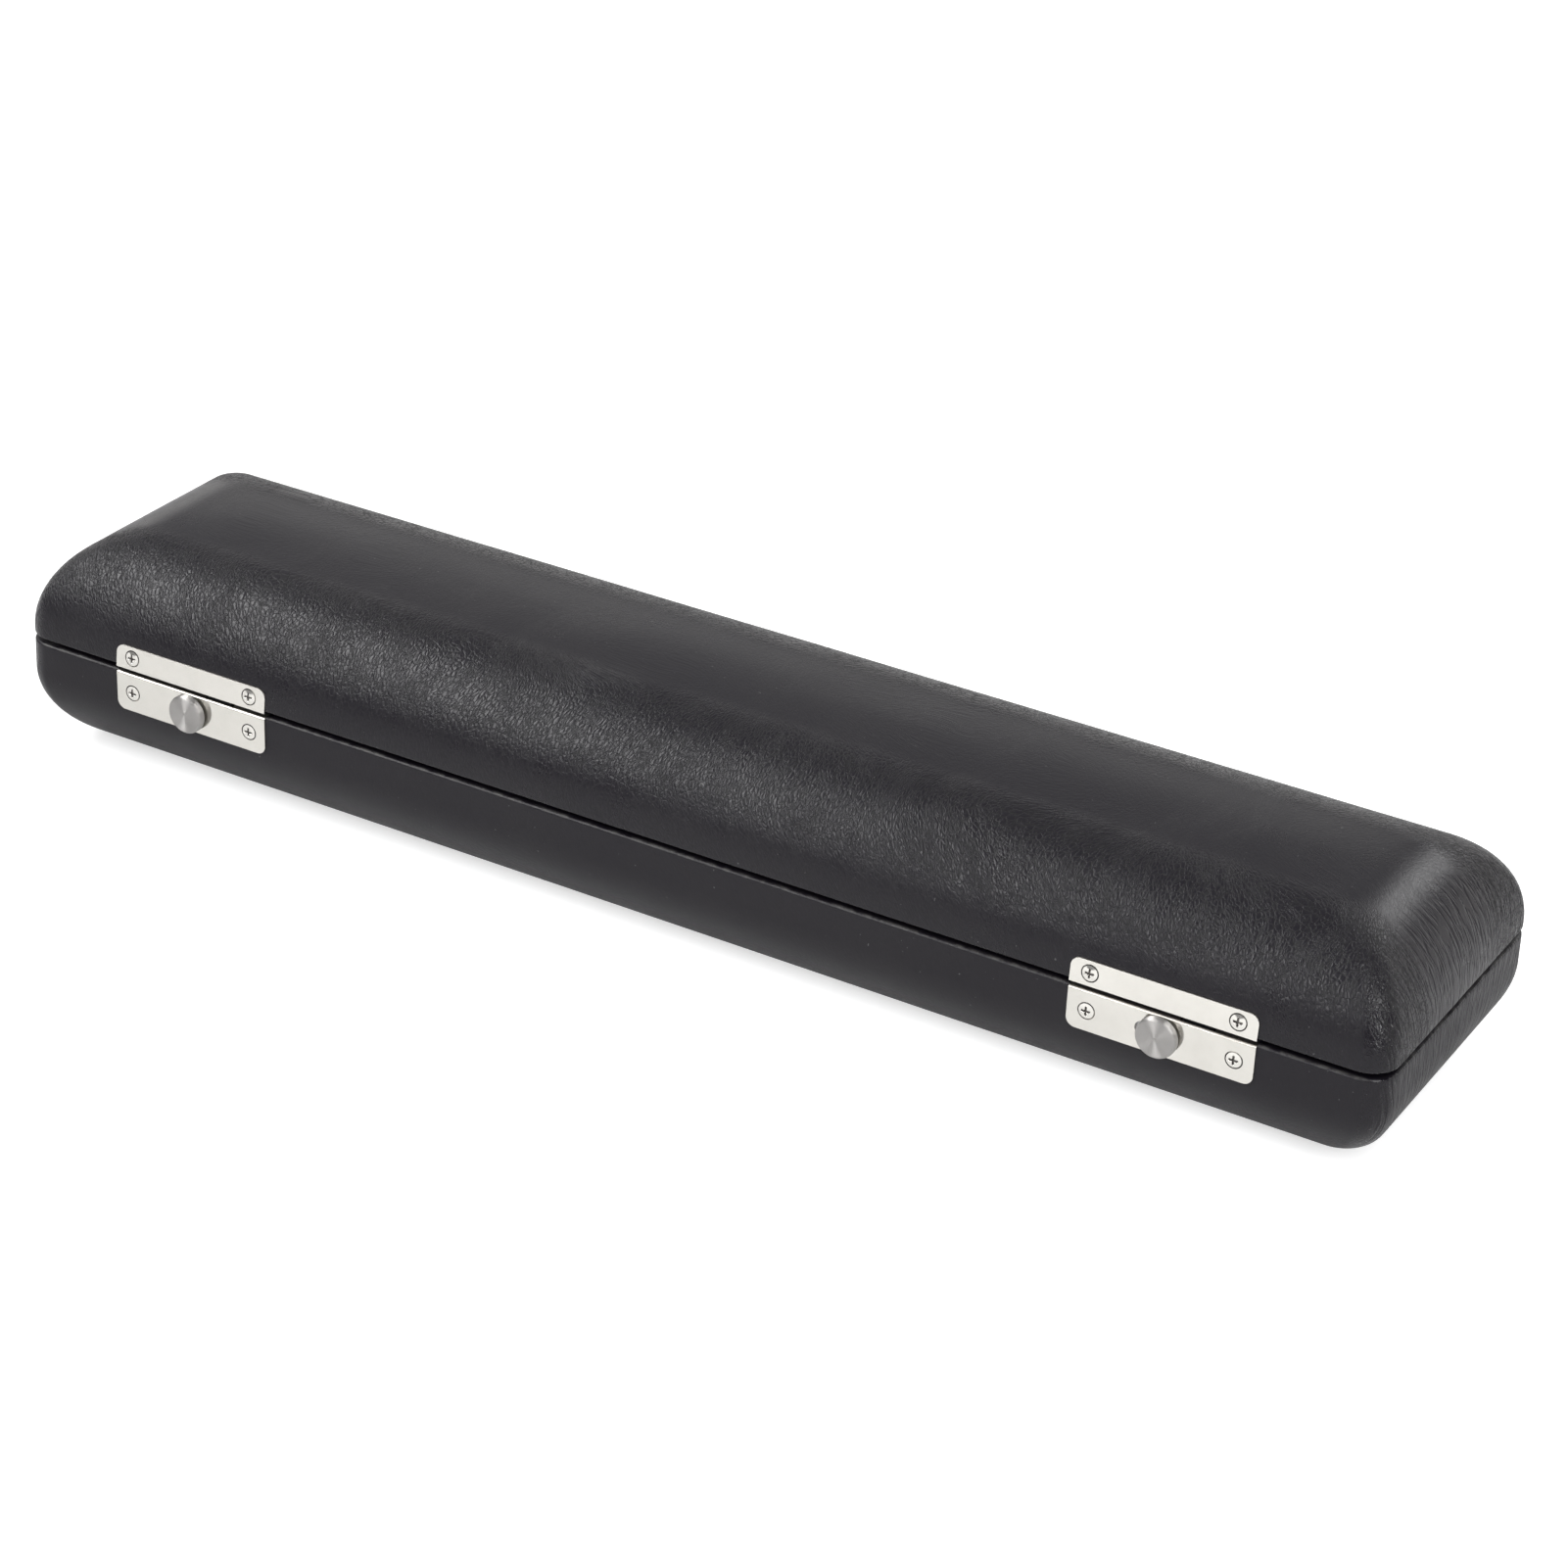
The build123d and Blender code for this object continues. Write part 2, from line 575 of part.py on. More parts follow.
def latch_housing(x):
    """The pressed pan behind the latch plate that the bolt, its spring and the keeper work in."""
    height = HOUSING_ABOVE + HOUSING_BELOW
    top = BOLT_LEVEL + HOUSING_ABOVE
    corner = (Align.CENTER, Align.MIN, Align.MAX)
    with BuildPart() as housing:
        with Locations((x, -PLATE_BACK, top)):
            Box(HOUSING_LENGTH, HOUSING_DEPTH, height, align=corner)
        with Locations((x, -PLATE_BACK, top - HOUSING_WALL)):
            Box(
                HOUSING_LENGTH - 2 * HOUSING_WALL,
                HOUSING_DEPTH - HOUSING_WALL,
                height - 2 * HOUSING_WALL,
                align=corner,
                mode=Mode.SUBTRACT,
            )
        with Locations((x + KEEPER_MIDDLE, -PLATE_BACK, top)):
            Box(
                KEEPER_WIDTH + 2 * KEEPER_SLOT_CLEARANCE,
                HOUSING_DEPTH - HOUSING_WALL,
                HOUSING_WALL,
                align=corner,
                mode=Mode.SUBTRACT,
            )
    return housing.part


def latch_bolt(x):
    """The flat bolt that slides behind the plate, its nose in the keeper's notch."""
    with BuildPart() as bolt:
        with BuildSketch(bolt_wall(x, BOLT_FRONT)) as outline:
            with Locations((BOLT_SHOULDER, 0)):
                Rectangle(BOLT_TAIL + BOLT_SHOULDER, BOLT_HEIGHT, align=(Align.MAX, Align.CENTER))
                Rectangle(
                    KEEPER_LEFT + NOSE_BITE - BOLT_SHOULDER, NOSE_HEIGHT,
                    align=(Align.MIN, Align.CENTER),
                )
            chamfer(outline.vertices().group_by(Axis.X)[-1].sort_by(Axis.Y)[-1], NOSE_CHAMFER)
            Circle(RIVET_RADIUS + RIVET_CLEARANCE, mode=Mode.SUBTRACT)
        extrude(amount=-BOLT_THICKNESS)
    return bolt.part


def latch_knob(x):
    """The round thumb knob: head, neck through the plate's slot, and rivet through the bolt."""
    inward = (Align.CENTER, Align.CENTER, Align.MAX)
    seat = PLATE_BACK + PLATE_THICKNESS + KNOB_STANDOFF
    with BuildPart() as knob:
        with Locations(bolt_wall(x, seat)):
            Cylinder(KNOB_RADIUS, KNOB_HEIGHT, align=(Align.CENTER, Align.CENTER, Align.MIN))
            fillet(knob.edges().filter_by(GeomType.CIRCLE), KNOB_RIM_ROUND)
            Cylinder(NECK_RADIUS, seat - BOLT_FRONT, align=inward)
        with Locations(bolt_wall(x, BOLT_FRONT)):
            Cylinder(RIVET_RADIUS, BOLT_THICKNESS, align=inward)
    return knob.part


def latch_spring(x):
    """The coil spring between the housing's end and the bolt's tail."""
    start = x - HOUSING_LENGTH / 2 + HOUSING_WALL + SPRING_END_GAP + SPRING_WIRE_RADIUS
    end = x - BOLT_TAIL - SPRING_END_GAP - SPRING_WIRE_RADIUS
    depth = PLATE_BACK - (HOUSING_DEPTH - HOUSING_WALL) / 2
    with BuildPart() as spring:
        with BuildLine() as coil:
            Helix(
                pitch=(end - start) / SPRING_TURNS,
                height=end - start,
                radius=SPRING_RADIUS,
                center=(start, -depth, BOLT_LEVEL),
                direction=(1, 0, 0),
            )
        with BuildSketch(Plane(origin=coil.line @ 0, z_dir=coil.line % 0)):
            Circle(SPRING_WIRE_RADIUS)
        sweep(path=coil.line, is_frenet=True)
    return spring.part


def strike_plate(x):
    """The lid's plate, which leans back with the lid's wall."""
    with BuildPart() as plate:
        with BuildSketch(strike_wall(x)) as face:
            with Locations((0, -PLATE_RIM_STEP)):
                Rectangle(PLATE_LENGTH, STRIKE_PLATE_HEIGHT + PLATE_RIM_STEP, align=LOW)
            fillet(face.vertices().group_by(Axis.Y)[-1], PLATE_CORNER_RADIUS)
        extrude(amount=PLATE_THICKNESS)
        sink_screw_heads(STRIKE_SCREWS, x)
    return plate.part


def keeper(x):
    """The hooked tongue on the strike plate's back that the bolt's nose holds down."""
    with BuildPart() as hook:
        with BuildSketch(bolt_wall(x, KEEPER_FRONT)) as outline:
            with Locations((KEEPER_MIDDLE, -KEEPER_TIP_DROP)):
                Rectangle(
                    KEEPER_WIDTH, KEEPER_TIP_DROP + LID_RIM - BOLT_LEVEL + KEEPER_ROOT, align=LOW
                )
            chamfer(outline.vertices().group_by(Axis.Y)[0].sort_by(Axis.X)[0], KEEPER_CHAMFER)
            with Locations((KEEPER_LEFT, 0)):
                Rectangle(
                    KEEPER_NOTCH_DEPTH, NOSE_HEIGHT + 2 * KEEPER_NOTCH_CLEARANCE,
                    align=(Align.MIN, Align.CENTER), mode=Mode.SUBTRACT,
                )
        extrude(amount=-KEEPER_THICKNESS)
        with Locations((x + KEEPER_MIDDLE, -PLATE_BACK, LID_RIM)):
            Box(
                KEEPER_WIDTH, KEEPER_SETBACK + KEEPER_THICKNESS, KEEPER_ROOT,
                align=(Align.CENTER, Align.MIN, Align.MIN),
            )
        with BuildSketch(strike_wall(x)):
            Rectangle(PLATE_LENGTH, 2 * KEEPER_ROOT + 2 * STRIKE_PLATE_HEIGHT)
        extrude(amount=PLATE_THICKNESS + PLATE_SINK, mode=Mode.SUBTRACT)
    return hook.part


for side, station in STATIONS.items():
    finish(latch_plate(station), f"latch_plate_{side}")
    finish(latch_housing(station), f"latch_housing_{side}")
    finish(latch_bolt(station), f"latch_bolt_{side}")
    finish(latch_knob(station), f"latch_knob_{side}")
    finish(latch_spring(station), f"latch_spring_{side}")
    finish(strike_plate(station), f"strike_plate_{side}")
    finish(keeper(station), f"keeper_{side}")


# ---- hinges
BASE_KNUCKLE_LENGTH = (HINGE_LENGTH - LID_KNUCKLE_LENGTH) / 2 - KNUCKLE_GAP
BASE_KNUCKLE_X = (HINGE_LENGTH - BASE_KNUCKLE_LENGTH) / 2
BASE_KNUCKLES = [(-BASE_KNUCKLE_X, BASE_KNUCKLE_LENGTH), (BASE_KNUCKLE_X, BASE_KNUCKLE_LENGTH)]
LID_KNUCKLES = [(0, LID_KNUCKLE_LENGTH)]


def pin_line(x, offset=0.0):
    """A plane across the hinge pin, facing along it."""
    return Plane(origin=(x + offset, HINGE_AXIS_Y, PARTING_HEIGHT), x_dir=(0, 1, 0), z_dir=(1, 0, 0))


def hinge_leaf(x, screws, edge, own, other):
    """A leaf with its own knuckles, cut clear of the other leaf's. edge is MAX under the pin."""
    with BuildPart() as leaf:
        with BuildSketch(screws[0](x)) as face:
            Rectangle(HINGE_LENGTH, HINGE_LEAF_HEIGHT, align=(Align.CENTER, edge))
            far = 0 if edge == Align.MAX else -1
            fillet(face.vertices().group_by(Axis.Y)[far], HINGE_CORNER_RADIUS)
        extrude(amount=HINGE_LEAF_THICKNESS)
        for offset, length in other:
            with Locations(pin_line(x, offset)):
                Cylinder(
                    BARREL_RADIUS + KNUCKLE_GAP, length + 2 * KNUCKLE_GAP, mode=Mode.SUBTRACT
                )
        for offset, length in own:
            with Locations(pin_line(x, offset)):
                Cylinder(BARREL_RADIUS, length)
            with Locations((x + offset, HINGE_AXIS_Y, PARTING_HEIGHT)):
                Box(
                    length, HINGE_AXIS_Y - PLATE_BACK, BARREL_RADIUS,
                    align=(Align.CENTER, Align.MAX, edge),
                )
        with Locations(pin_line(x)):
            Cylinder(HINGE_PIN_RADIUS + HINGE_PIN_CLEARANCE, HINGE_LENGTH, mode=Mode.SUBTRACT)
        sink_screw_heads(screws, x)
    return leaf.part


def hinge_pin(x):
    """The pin, headed at both ends."""
    with BuildPart() as pin:
        with Locations(pin_line(x)):
            Cylinder(HINGE_PIN_RADIUS, HINGE_LENGTH)
        for end in (-1, 1):
            with Locations(pin_line(x, end * (HINGE_LENGTH + PIN_HEAD_LENGTH) / 2)):
                Cylinder(PIN_HEAD_RADIUS, PIN_HEAD_LENGTH)
    return pin.part


for side, station in HINGE_STATIONS.items():
    base_leaf = hinge_leaf(station, BASE_HINGE_SCREWS, Align.MAX, BASE_KNUCKLES, LID_KNUCKLES)
    lid_leaf = hinge_leaf(station, LID_HINGE_SCREWS, Align.MIN, LID_KNUCKLES, BASE_KNUCKLES)
    finish(base_leaf, f"hinge_base_leaf_{side}")
    finish(lid_leaf, f"hinge_lid_leaf_{side}")
    finish(hinge_pin(station), f"hinge_pin_{side}")


# ---- screws
def make_screw():
    """An oval countersunk screw with a cross recess, its head's rim on the XY plane."""
    with BuildPart() as screw:
        with BuildSketch(Plane.XZ):
            with BuildLine():
                Polyline(
                    (0, SCREW_HEAD_DOME),
                    (0, -SCREW_LENGTH),
                    (SCREW_SHANK_RADIUS, SCREW_SHANK_RADIUS - SCREW_LENGTH),
                    (SCREW_SHANK_RADIUS, -SCREW_HEAD_CONE),
                    (SCREW_HEAD_RADIUS, 0),
                )
                TangentArc((0, SCREW_HEAD_DOME), (SCREW_HEAD_RADIUS, 0), tangent=(1, 0))
            make_face()
        revolve(axis=Axis.Z)
        with Locations((0, 0, SCREW_HEAD_DOME)):
            for length, width in ((RECESS_LENGTH, RECESS_WIDTH), (RECESS_WIDTH, RECESS_LENGTH)):
                Box(
                    length, width, RECESS_DEPTH,
                    align=(Align.CENTER, Align.CENTER, Align.MAX), mode=Mode.SUBTRACT,
                )
    return screw.part


SCREW = make_screw()


def screw_group(screws, stations):
    """All the screws of one kind, as separate solids."""
    with BuildPart() as group:
        with Locations(*screw_spots(screws, stations)):
            add(SCREW)
    return group.part


finish(screw_group(LATCH_SCREWS, STATIONS.values()), "latch_plate_screws")
finish(screw_group(STRIKE_SCREWS, STATIONS.values()), "strike_plate_screws")
finish(screw_group(BASE_HINGE_SCREWS, HINGE_STATIONS.values()), "hinge_base_screws")
finish(screw_group(LID_HINGE_SCREWS, HINGE_STATIONS.values()), "hinge_lid_screws")
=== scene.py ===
"""Dresses the flute case: leatherette halves, nickel latches, hinges and a plush inside.

The scene is in metres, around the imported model. Pieces give their sizes in millimetres, scaled
by MM. Finishes, lamps and the studio's room give theirs in metres.
"""

import logging
import math
from dataclasses import dataclass, field
from enum import Enum
from typing import Iterable, Optional, Sequence, Union

import bmesh
import bpy
import numpy as np
from mathutils import Matrix, Vector, noise

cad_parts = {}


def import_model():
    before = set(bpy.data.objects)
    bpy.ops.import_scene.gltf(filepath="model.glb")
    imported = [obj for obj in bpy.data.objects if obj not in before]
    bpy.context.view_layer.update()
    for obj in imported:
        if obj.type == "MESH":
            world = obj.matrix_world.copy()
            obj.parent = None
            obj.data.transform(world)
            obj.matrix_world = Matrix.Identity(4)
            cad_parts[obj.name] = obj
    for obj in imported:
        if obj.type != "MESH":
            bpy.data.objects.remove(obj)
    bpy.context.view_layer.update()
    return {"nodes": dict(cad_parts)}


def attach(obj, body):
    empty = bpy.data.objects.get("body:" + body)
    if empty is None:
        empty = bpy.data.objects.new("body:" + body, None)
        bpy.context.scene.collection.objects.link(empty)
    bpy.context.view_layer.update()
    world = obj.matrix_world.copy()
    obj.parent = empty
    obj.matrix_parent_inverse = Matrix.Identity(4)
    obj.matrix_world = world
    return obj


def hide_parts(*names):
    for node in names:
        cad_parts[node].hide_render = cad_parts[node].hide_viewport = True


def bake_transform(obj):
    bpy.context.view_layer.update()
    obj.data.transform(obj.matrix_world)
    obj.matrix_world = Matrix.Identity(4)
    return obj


LOG = logging.getLogger("flute_case")
MM = 0.001
SIDES = ("left", "right")

Triple = tuple[float, float, float]
Color = Triple
Span = tuple[float, float]
Socket = bpy.types.NodeSocket
Value = Union[float, Socket]
Texture = tuple[Value, float, float]

WHITE: Color = (1.0, 1.0, 1.0)
MIDDLE: Triple = (0.5, 0.5, 0.5)


class Body(Enum):
    """The bodies that carry most of the pieces."""

    BASE = "base"
    LID = "lid"


# ---------------------------------------------------------------- shader graphs
class Graph:
    """Adds and joins nodes in one material's or one group's tree."""

    def __init__(self, tree: bpy.types.NodeTree) -> None:
        """Keeps the tree to work in."""
        self.tree = tree

    def add(self, kind: str, inputs: Optional[dict] = None, **settings: object) -> bpy.types.Node:
        """Adds a node.

        Args:
            kind: the node's type name.
            inputs: constants or sockets, by input name or number.
            settings: properties of the node itself.

        Returns:
            The new node.
        """
        node = self.tree.nodes.new(kind)
        for name, value in settings.items():
            setattr(node, name, value)
        return self.feed_all(node, inputs or {})

    def feed(self, target: Socket, value: object) -> None:
        """Links a socket to a target, or sets the target's constant.

        Args:
            target: the input to feed.
            value: a socket, a number or a tuple. A colour of three parts is made opaque.
        """
        if isinstance(value, bpy.types.NodeSocket):
            self.tree.links.new(value, target)
        elif isinstance(value, tuple) and len(value) == 3 and len(target.default_value) == 4:
            target.default_value = (*value, 1.0)
        else:
            target.default_value = value

    def math(self, operation: str, a: Value, b: Value = 0.0, c: Value = 0.0,
             clamp: bool = False) -> Socket:
        """One math node on up to three values."""
        values = {0: a, 1: b, 2: c}
        return self.add("ShaderNodeMath", values, operation=operation, use_clamp=clamp).outputs[0]

    def vector(self, operation: str, a: object, b: object) -> Socket:
        """One vector math node on two vectors."""
        return self.add("ShaderNodeVectorMath", {0: a, 1: b}, operation=operation).outputs[0]

    def ramp(self, value: Value, low: float, high: float, out_low: float = 0.0,
             out_high: float = 1.0) -> Socket:
        """A smooth, clamped step of a value between two levels.

        Args:
            value: what is stepped.
            low: where the step starts.
            high: where the step ends.
            out_low: what comes out before it.
            out_high: what comes out after it.

        Returns:
            The stepped value.
        """
        sockets = {"Value": value, "From Min": low, "From Max": high,
                   "To Min": out_low, "To Max": out_high}
        node = self.add("ShaderNodeMapRange", sockets, interpolation_type="SMOOTHSTEP")
        return node.outputs["Result"]

    def blend(self, factor: Value, a: Value, b: Value) -> Socket:
        """Mixes two values."""
        return self.add("ShaderNodeMix", {0: factor, 2: a, 3: b}, data_type="FLOAT").outputs[0]

    def tint(self, factor: Value, a: object, b: object) -> Socket:
        """Mixes two colours."""
        node = self.add("ShaderNodeMix", {0: factor, 6: a, 7: b}, data_type="RGBA")
        return node.outputs[2]

    def noise(self, vector: Socket, texture: Texture, times: Optional[Socket] = None,
              output: str = "Fac") -> Socket:
        """Fractal noise over a vector.

        Args:
            vector: where the noise is read.
            texture: its scale, detail and roughness.
            times: what the scale is multiplied by, if anything.
            output: Fac for one value, Color for three.

        Returns:
            The noise.
        """
        scale, detail, rough = texture
        if times is not None:
            scale = self.math("MULTIPLY", times, scale)
        sockets = {"Vector": vector, "Scale": scale, "Detail": detail, "Roughness": rough}
        return self.add("ShaderNodeTexNoise", sockets).outputs[output]

    def cells(self, vector: Socket, scale: Value) -> Socket:
        """Distance to the nearest cell edge."""
        inputs = {"Vector": vector, "Scale": scale}
        return self.add("ShaderNodeTexVoronoi", inputs, feature="DISTANCE_TO_EDGE").outputs[0]

    def feed_all(self, node: bpy.types.Node, inputs: dict) -> bpy.types.Node:
        """Feeds some of a node's inputs.

        Args:
            node: the node to feed.
            inputs: constants or sockets, by input name or number.

        Returns:
            The same node.
        """
        for name, value in inputs.items():
            self.feed(node.inputs[name], value)
        return node

    def place(self) -> Socket:
        """The object's own coordinates, in metres."""
        return self.add("ShaderNodeTexCoord").outputs["Object"]

    def normal(self) -> Socket:
        """The way the surface faces, in the object's own directions."""
        return self.add("ShaderNodeTexCoord").outputs["Normal"]

    def split(self, vector: Socket) -> tuple[Socket, Socket, Socket]:
        """The three parts of a vector."""
        return tuple(self.add("ShaderNodeSeparateXYZ", {0: vector}).outputs)

    def join(self, x: Value, y: Value, z: Value) -> Socket:
        """A vector from three values."""
        return self.add("ShaderNodeCombineXYZ", {0: x, 1: y, 2: z}).outputs[0]


# ---------------------------------------------------------------- shared effects
@dataclass(frozen=True)
class Effect:
    """A node group that several finishes share, built the first time one of them uses it."""

    name: str
    takes: tuple[str, ...]
    gives: tuple[str, ...]

    def draw(self, graph: Graph, given: dict[str, Socket]) -> dict[str, Socket]:
        """Draws the inside of the group.

        Args:
            graph: the group's own graph.
            given: its inputs, by name. Place is a vector and the others are values.

        Returns:
            What each of its outputs takes, by name.
        """
        raise NotImplementedError

    def tree(self) -> bpy.types.NodeTree:
        """Finds the group's tree, or builds it.

        Returns:
            The tree, the same one each time.
        """
        known = bpy.data.node_groups.get(self.name)
        if known:
            return known
        tree = bpy.data.node_groups.new(self.name, "ShaderNodeTree")
        for label in self.takes:
            kind = "NodeSocketVector" if label == "Place" else "NodeSocketFloat"
            tree.interface.new_socket(name=label, in_out="INPUT", socket_type=kind)
        for label in self.gives:
            tree.interface.new_socket(name=label, in_out="OUTPUT", socket_type="NodeSocketFloat")
        graph = Graph(tree)
        source = graph.add("NodeGroupInput")
        result = graph.add("NodeGroupOutput")
        given = {socket.name: socket for socket in source.outputs if socket.name}
        graph.feed_all(result, self.draw(graph, given))
        return tree

    def use(self, graph: Graph, inputs: dict[str, Value]) -> dict[str, Socket]:
        """Places the group in a material.

        Args:
            graph: the material's graph.
            inputs: the group's inputs, by name.

        Returns:
            Its outputs, by name.
        """
        node = graph.feed_all(graph.add("ShaderNodeGroup", node_tree=self.tree()), inputs)
        return {socket.name: socket for socket in node.outputs}


@dataclass(frozen=True)
class LeatherGrain(Effect):
    """Small cells drawn out one way, parted by cracks and crossed by folds.

    Scales are multiples of the cells' scale. Shares are of the grain's full height.
    """

    name: str = "leather_grain"
    takes: tuple[str, ...] = ("Place", "Cells", "Depth", "Least")
    gives: tuple[str, ...] = ("Height", "Crack")
    warp: Texture = (0.4, 3.0, 0.6)
    warp_reach: float = 1.3
    crack_span: Span = (0.0, 0.1)
    crack_share: float = 0.34
    pillow_span: Span = (0.0, 0.42)
    pillow_share: float = 0.4
    fold: Texture = (0.4, 2.0, 0.55)
    fold_span: Span = (0.0, 0.045)
    fold_share: float = 0.26
    pore: Texture = (3.4, 2.0, 0.5)
    pore_share: float = 0.12
    fine_scale: float = 2.0
    fine_span: Span = (0.0, 0.16)
    fine_share: float = 0.24
    deep: Texture = (0.07, 3.0, 0.5)
    deep_span: Span = (0.34, 0.62)
    mixed: Texture = (0.16, 2.0, 0.5)
    mixed_span: Span = (0.4, 0.6)

    def draw(self, graph: Graph, given: dict[str, Socket]) -> dict[str, Socket]:
        """Draws the cells over warped ground, then folds, pores and finer cells.

        Args:
            graph: the group's own graph.
            given: Place, Cells (their scale), Depth, and Least (the depth's share in the
                shallowest patches).

        Returns:
            Height of the surface, and Crack, how deep in a crack a point lies.
        """
        place, cells, depth = given["Place"], given["Cells"], given["Depth"]
        shove = graph.vector("SUBTRACT", graph.noise(place, self.warp, cells, "Color"), MIDDLE)
        moved = graph.add("ShaderNodeVectorMath", {0: shove}, operation="SCALE")
        graph.feed_all(moved, {"Scale": graph.math("DIVIDE", self.warp_reach, cells)})
        warped = graph.vector("ADD", place, moved.outputs[0])
        edge = graph.cells(warped, cells)
        crack = graph.ramp(edge, *self.crack_span)
        pillow = graph.ramp(edge, *self.pillow_span)
        fine = graph.cells(warped, graph.math("MULTIPLY", cells, self.fine_scale))
        fine = graph.ramp(fine, *self.fine_span)
        ridge = graph.math("SUBTRACT", graph.noise(warped, self.fold, cells), MIDDLE[0])
        fold = graph.ramp(graph.math("ABSOLUTE", ridge), *self.fold_span)
        pores = graph.noise(place, self.pore, cells)
        deep = graph.ramp(graph.noise(place, self.deep, cells), *self.deep_span)
        mixed = graph.ramp(graph.noise(place, self.mixed, cells), *self.mixed_span)
        local_depth = graph.math("MULTIPLY", depth, graph.blend(deep, given["Least"], 1.0))
        height = graph.math("MULTIPLY", crack, self.crack_share)
        for layer, share in ((pillow, self.pillow_share), (fold, self.fold_share),
                             (pores, self.pore_share),
                             (graph.math("MULTIPLY", fine, mixed), self.fine_share)):
            height = graph.math("MULTIPLY_ADD", layer, share, height)
        dark = graph.math("SUBTRACT", 1.0, graph.math("MULTIPLY", crack, fold))
        return {"Height": graph.math("MULTIPLY", height, local_depth),
                "Crack": graph.math("MULTIPLY", dark, local_depth, clamp=True)}


@dataclass(frozen=True)
class MetalWear(Effect):
    """Handling marks on metal: hair scratches, a soft haze and slow patches."""

    name: str = "metal_wear"
    takes: tuple[str, ...] = ("Place", "Amount")
    gives: tuple[str, ...] = ("Scratch", "Haze")
    hair_stretch: Triple = (60.0, 60.0, 2400.0)
    hair: Texture = (1.0, 3.0, 0.6)
    hair_span: Span = (0.58, 0.78)
    cross_stretch: Triple = (900.0, 900.0, 90.0)
    cross: Texture = (1.0, 2.0, 0.6)
    cross_span: Span = (0.66, 0.8)
    cross_share: float = 0.5
    haze: Texture = (180.0, 4.0, 0.6)
    slow: Texture = (32.0, 2.0, 0.5)
    slow_share: float = 0.4

    def draw(self, graph: Graph, given: dict[str, Socket]) -> dict[str, Socket]:
        """Draws the scratches and the haze.

        Args:
            graph: the group's own graph.
            given: Place, and Amount, how strong the scratches are.

        Returns:
            Scratch and Haze.
        """
        place = given["Place"]
        hair = graph.noise(graph.vector("MULTIPLY", place, self.hair_stretch), self.hair)
        cross = graph.noise(graph.vector("MULTIPLY", place, self.cross_stretch), self.cross)
        marks = graph.math("ADD", graph.ramp(hair, *self.hair_span),
                           graph.ramp(cross, *self.cross_span, 0.0, self.cross_share))
        haze, slow = graph.noise(place, self.haze), graph.noise(place, self.slow)
        return {"Scratch": graph.math("MULTIPLY", marks, given["Amount"]),
                "Haze": graph.blend(self.slow_share, haze, slow)}


@dataclass(frozen=True)
class ClothPile(Effect):
    """Short pile: fine tufts, and strokes where a hand has brushed it."""

    name: str = "cloth_pile"
    takes: tuple[str, ...] = ("Place", "Tufts")
    gives: tuple[str, ...] = ("Height", "Nap")
    tuft_detail: Span = (2.0, 0.6)
    brush_stretch: Triple = (34.0, 90.0, 90.0)
    brush: Texture = (1.0, 4.0, 0.6)
    brush_span: Span = (0.3, 0.72)

    def draw(self, graph: Graph, given: dict[str, Socket]) -> dict[str, Socket]:
        """Draws the tufts and the brushed strokes.

        Args:
            graph: the group's own graph.
            given: Place, and Tufts, their scale.

        Returns:
            Height of the tufts, and Nap, where the pile is brushed over.
        """
        place = given["Place"]
        brushed = graph.noise(graph.vector("MULTIPLY", place, self.brush_stretch), self.brush)
        return {"Height": graph.noise(place, (given["Tufts"], *self.tuft_detail)),
                "Nap": graph.ramp(brushed, *self.brush_span)}


GRAIN = LeatherGrain()
WEAR = MetalWear()
PILE = ClothPile()


# ---------------------------------------------------------------- finishes
@dataclass(frozen=True)
class Finish:
    """A finish: its material's name, its slot's name and how its shader is set."""

    name: str
    slot: str

    def constants(self) -> dict[str, object]:
        """Constants set on the shader's own sockets."""
        return {}

    def paint(self, graph: Graph, shader: bpy.types.Node) -> None:
        """Joins the finish's textures to the shader."""

    def material(self) -> bpy.types.Material:
        """Finds the finish's material, or makes it.

        Returns:
            The material, the same one each time.
        """
        known = bpy.data.materials.get(self.name)
        if known:
            return known
        made = bpy.data.materials.new(self.name)
        made.use_nodes = True
        graph = Graph(made.node_tree)
        shader = made.node_tree.nodes["Principled BSDF"]
        graph.feed_all(shader, self.constants())
        self.paint(graph, shader)
        return made


def bump(graph: Graph, shader: bpy.types.Node, height: Socket, depth: float) -> None:
    """Turns a height into the shader's normal.

    Args:
        graph: the material's graph.
        shader: the Principled node.
        height: from 0 to about 1.
        depth: metres that a height of 1 stands for.
    """
    node = graph.add("ShaderNodeBump", {"Height": height, "Distance": depth, "Strength": 1.0})
    graph.feed(shader.inputs["Normal"], node.outputs["Normal"])


@dataclass(frozen=True)
class Spot:
    """Where a point of a leatherette half lies and which way it faces, as sockets."""

    place: Socket
    x: Socket
    y: Socket
    z: Socket
    out_x: Socket
    out_y: Socket
    facing_x: Socket
    facing_y: Socket

    @classmethod
    def read(cls, graph: Graph) -> "Spot":
        """Adds the nodes that read a point.

        Args:
            graph: the material's graph.

        Returns:
            Its coordinates, its distances from the two middle planes, and its normal's parts.
        """
        place = graph.place()
        x, y, z = graph.split(place)
        facing_x, facing_y, _ = graph.split(graph.normal())
        return cls(place, x, y, z, graph.math("ABSOLUTE", x), graph.math("ABSOLUTE", y),
                   facing_x, facing_y)


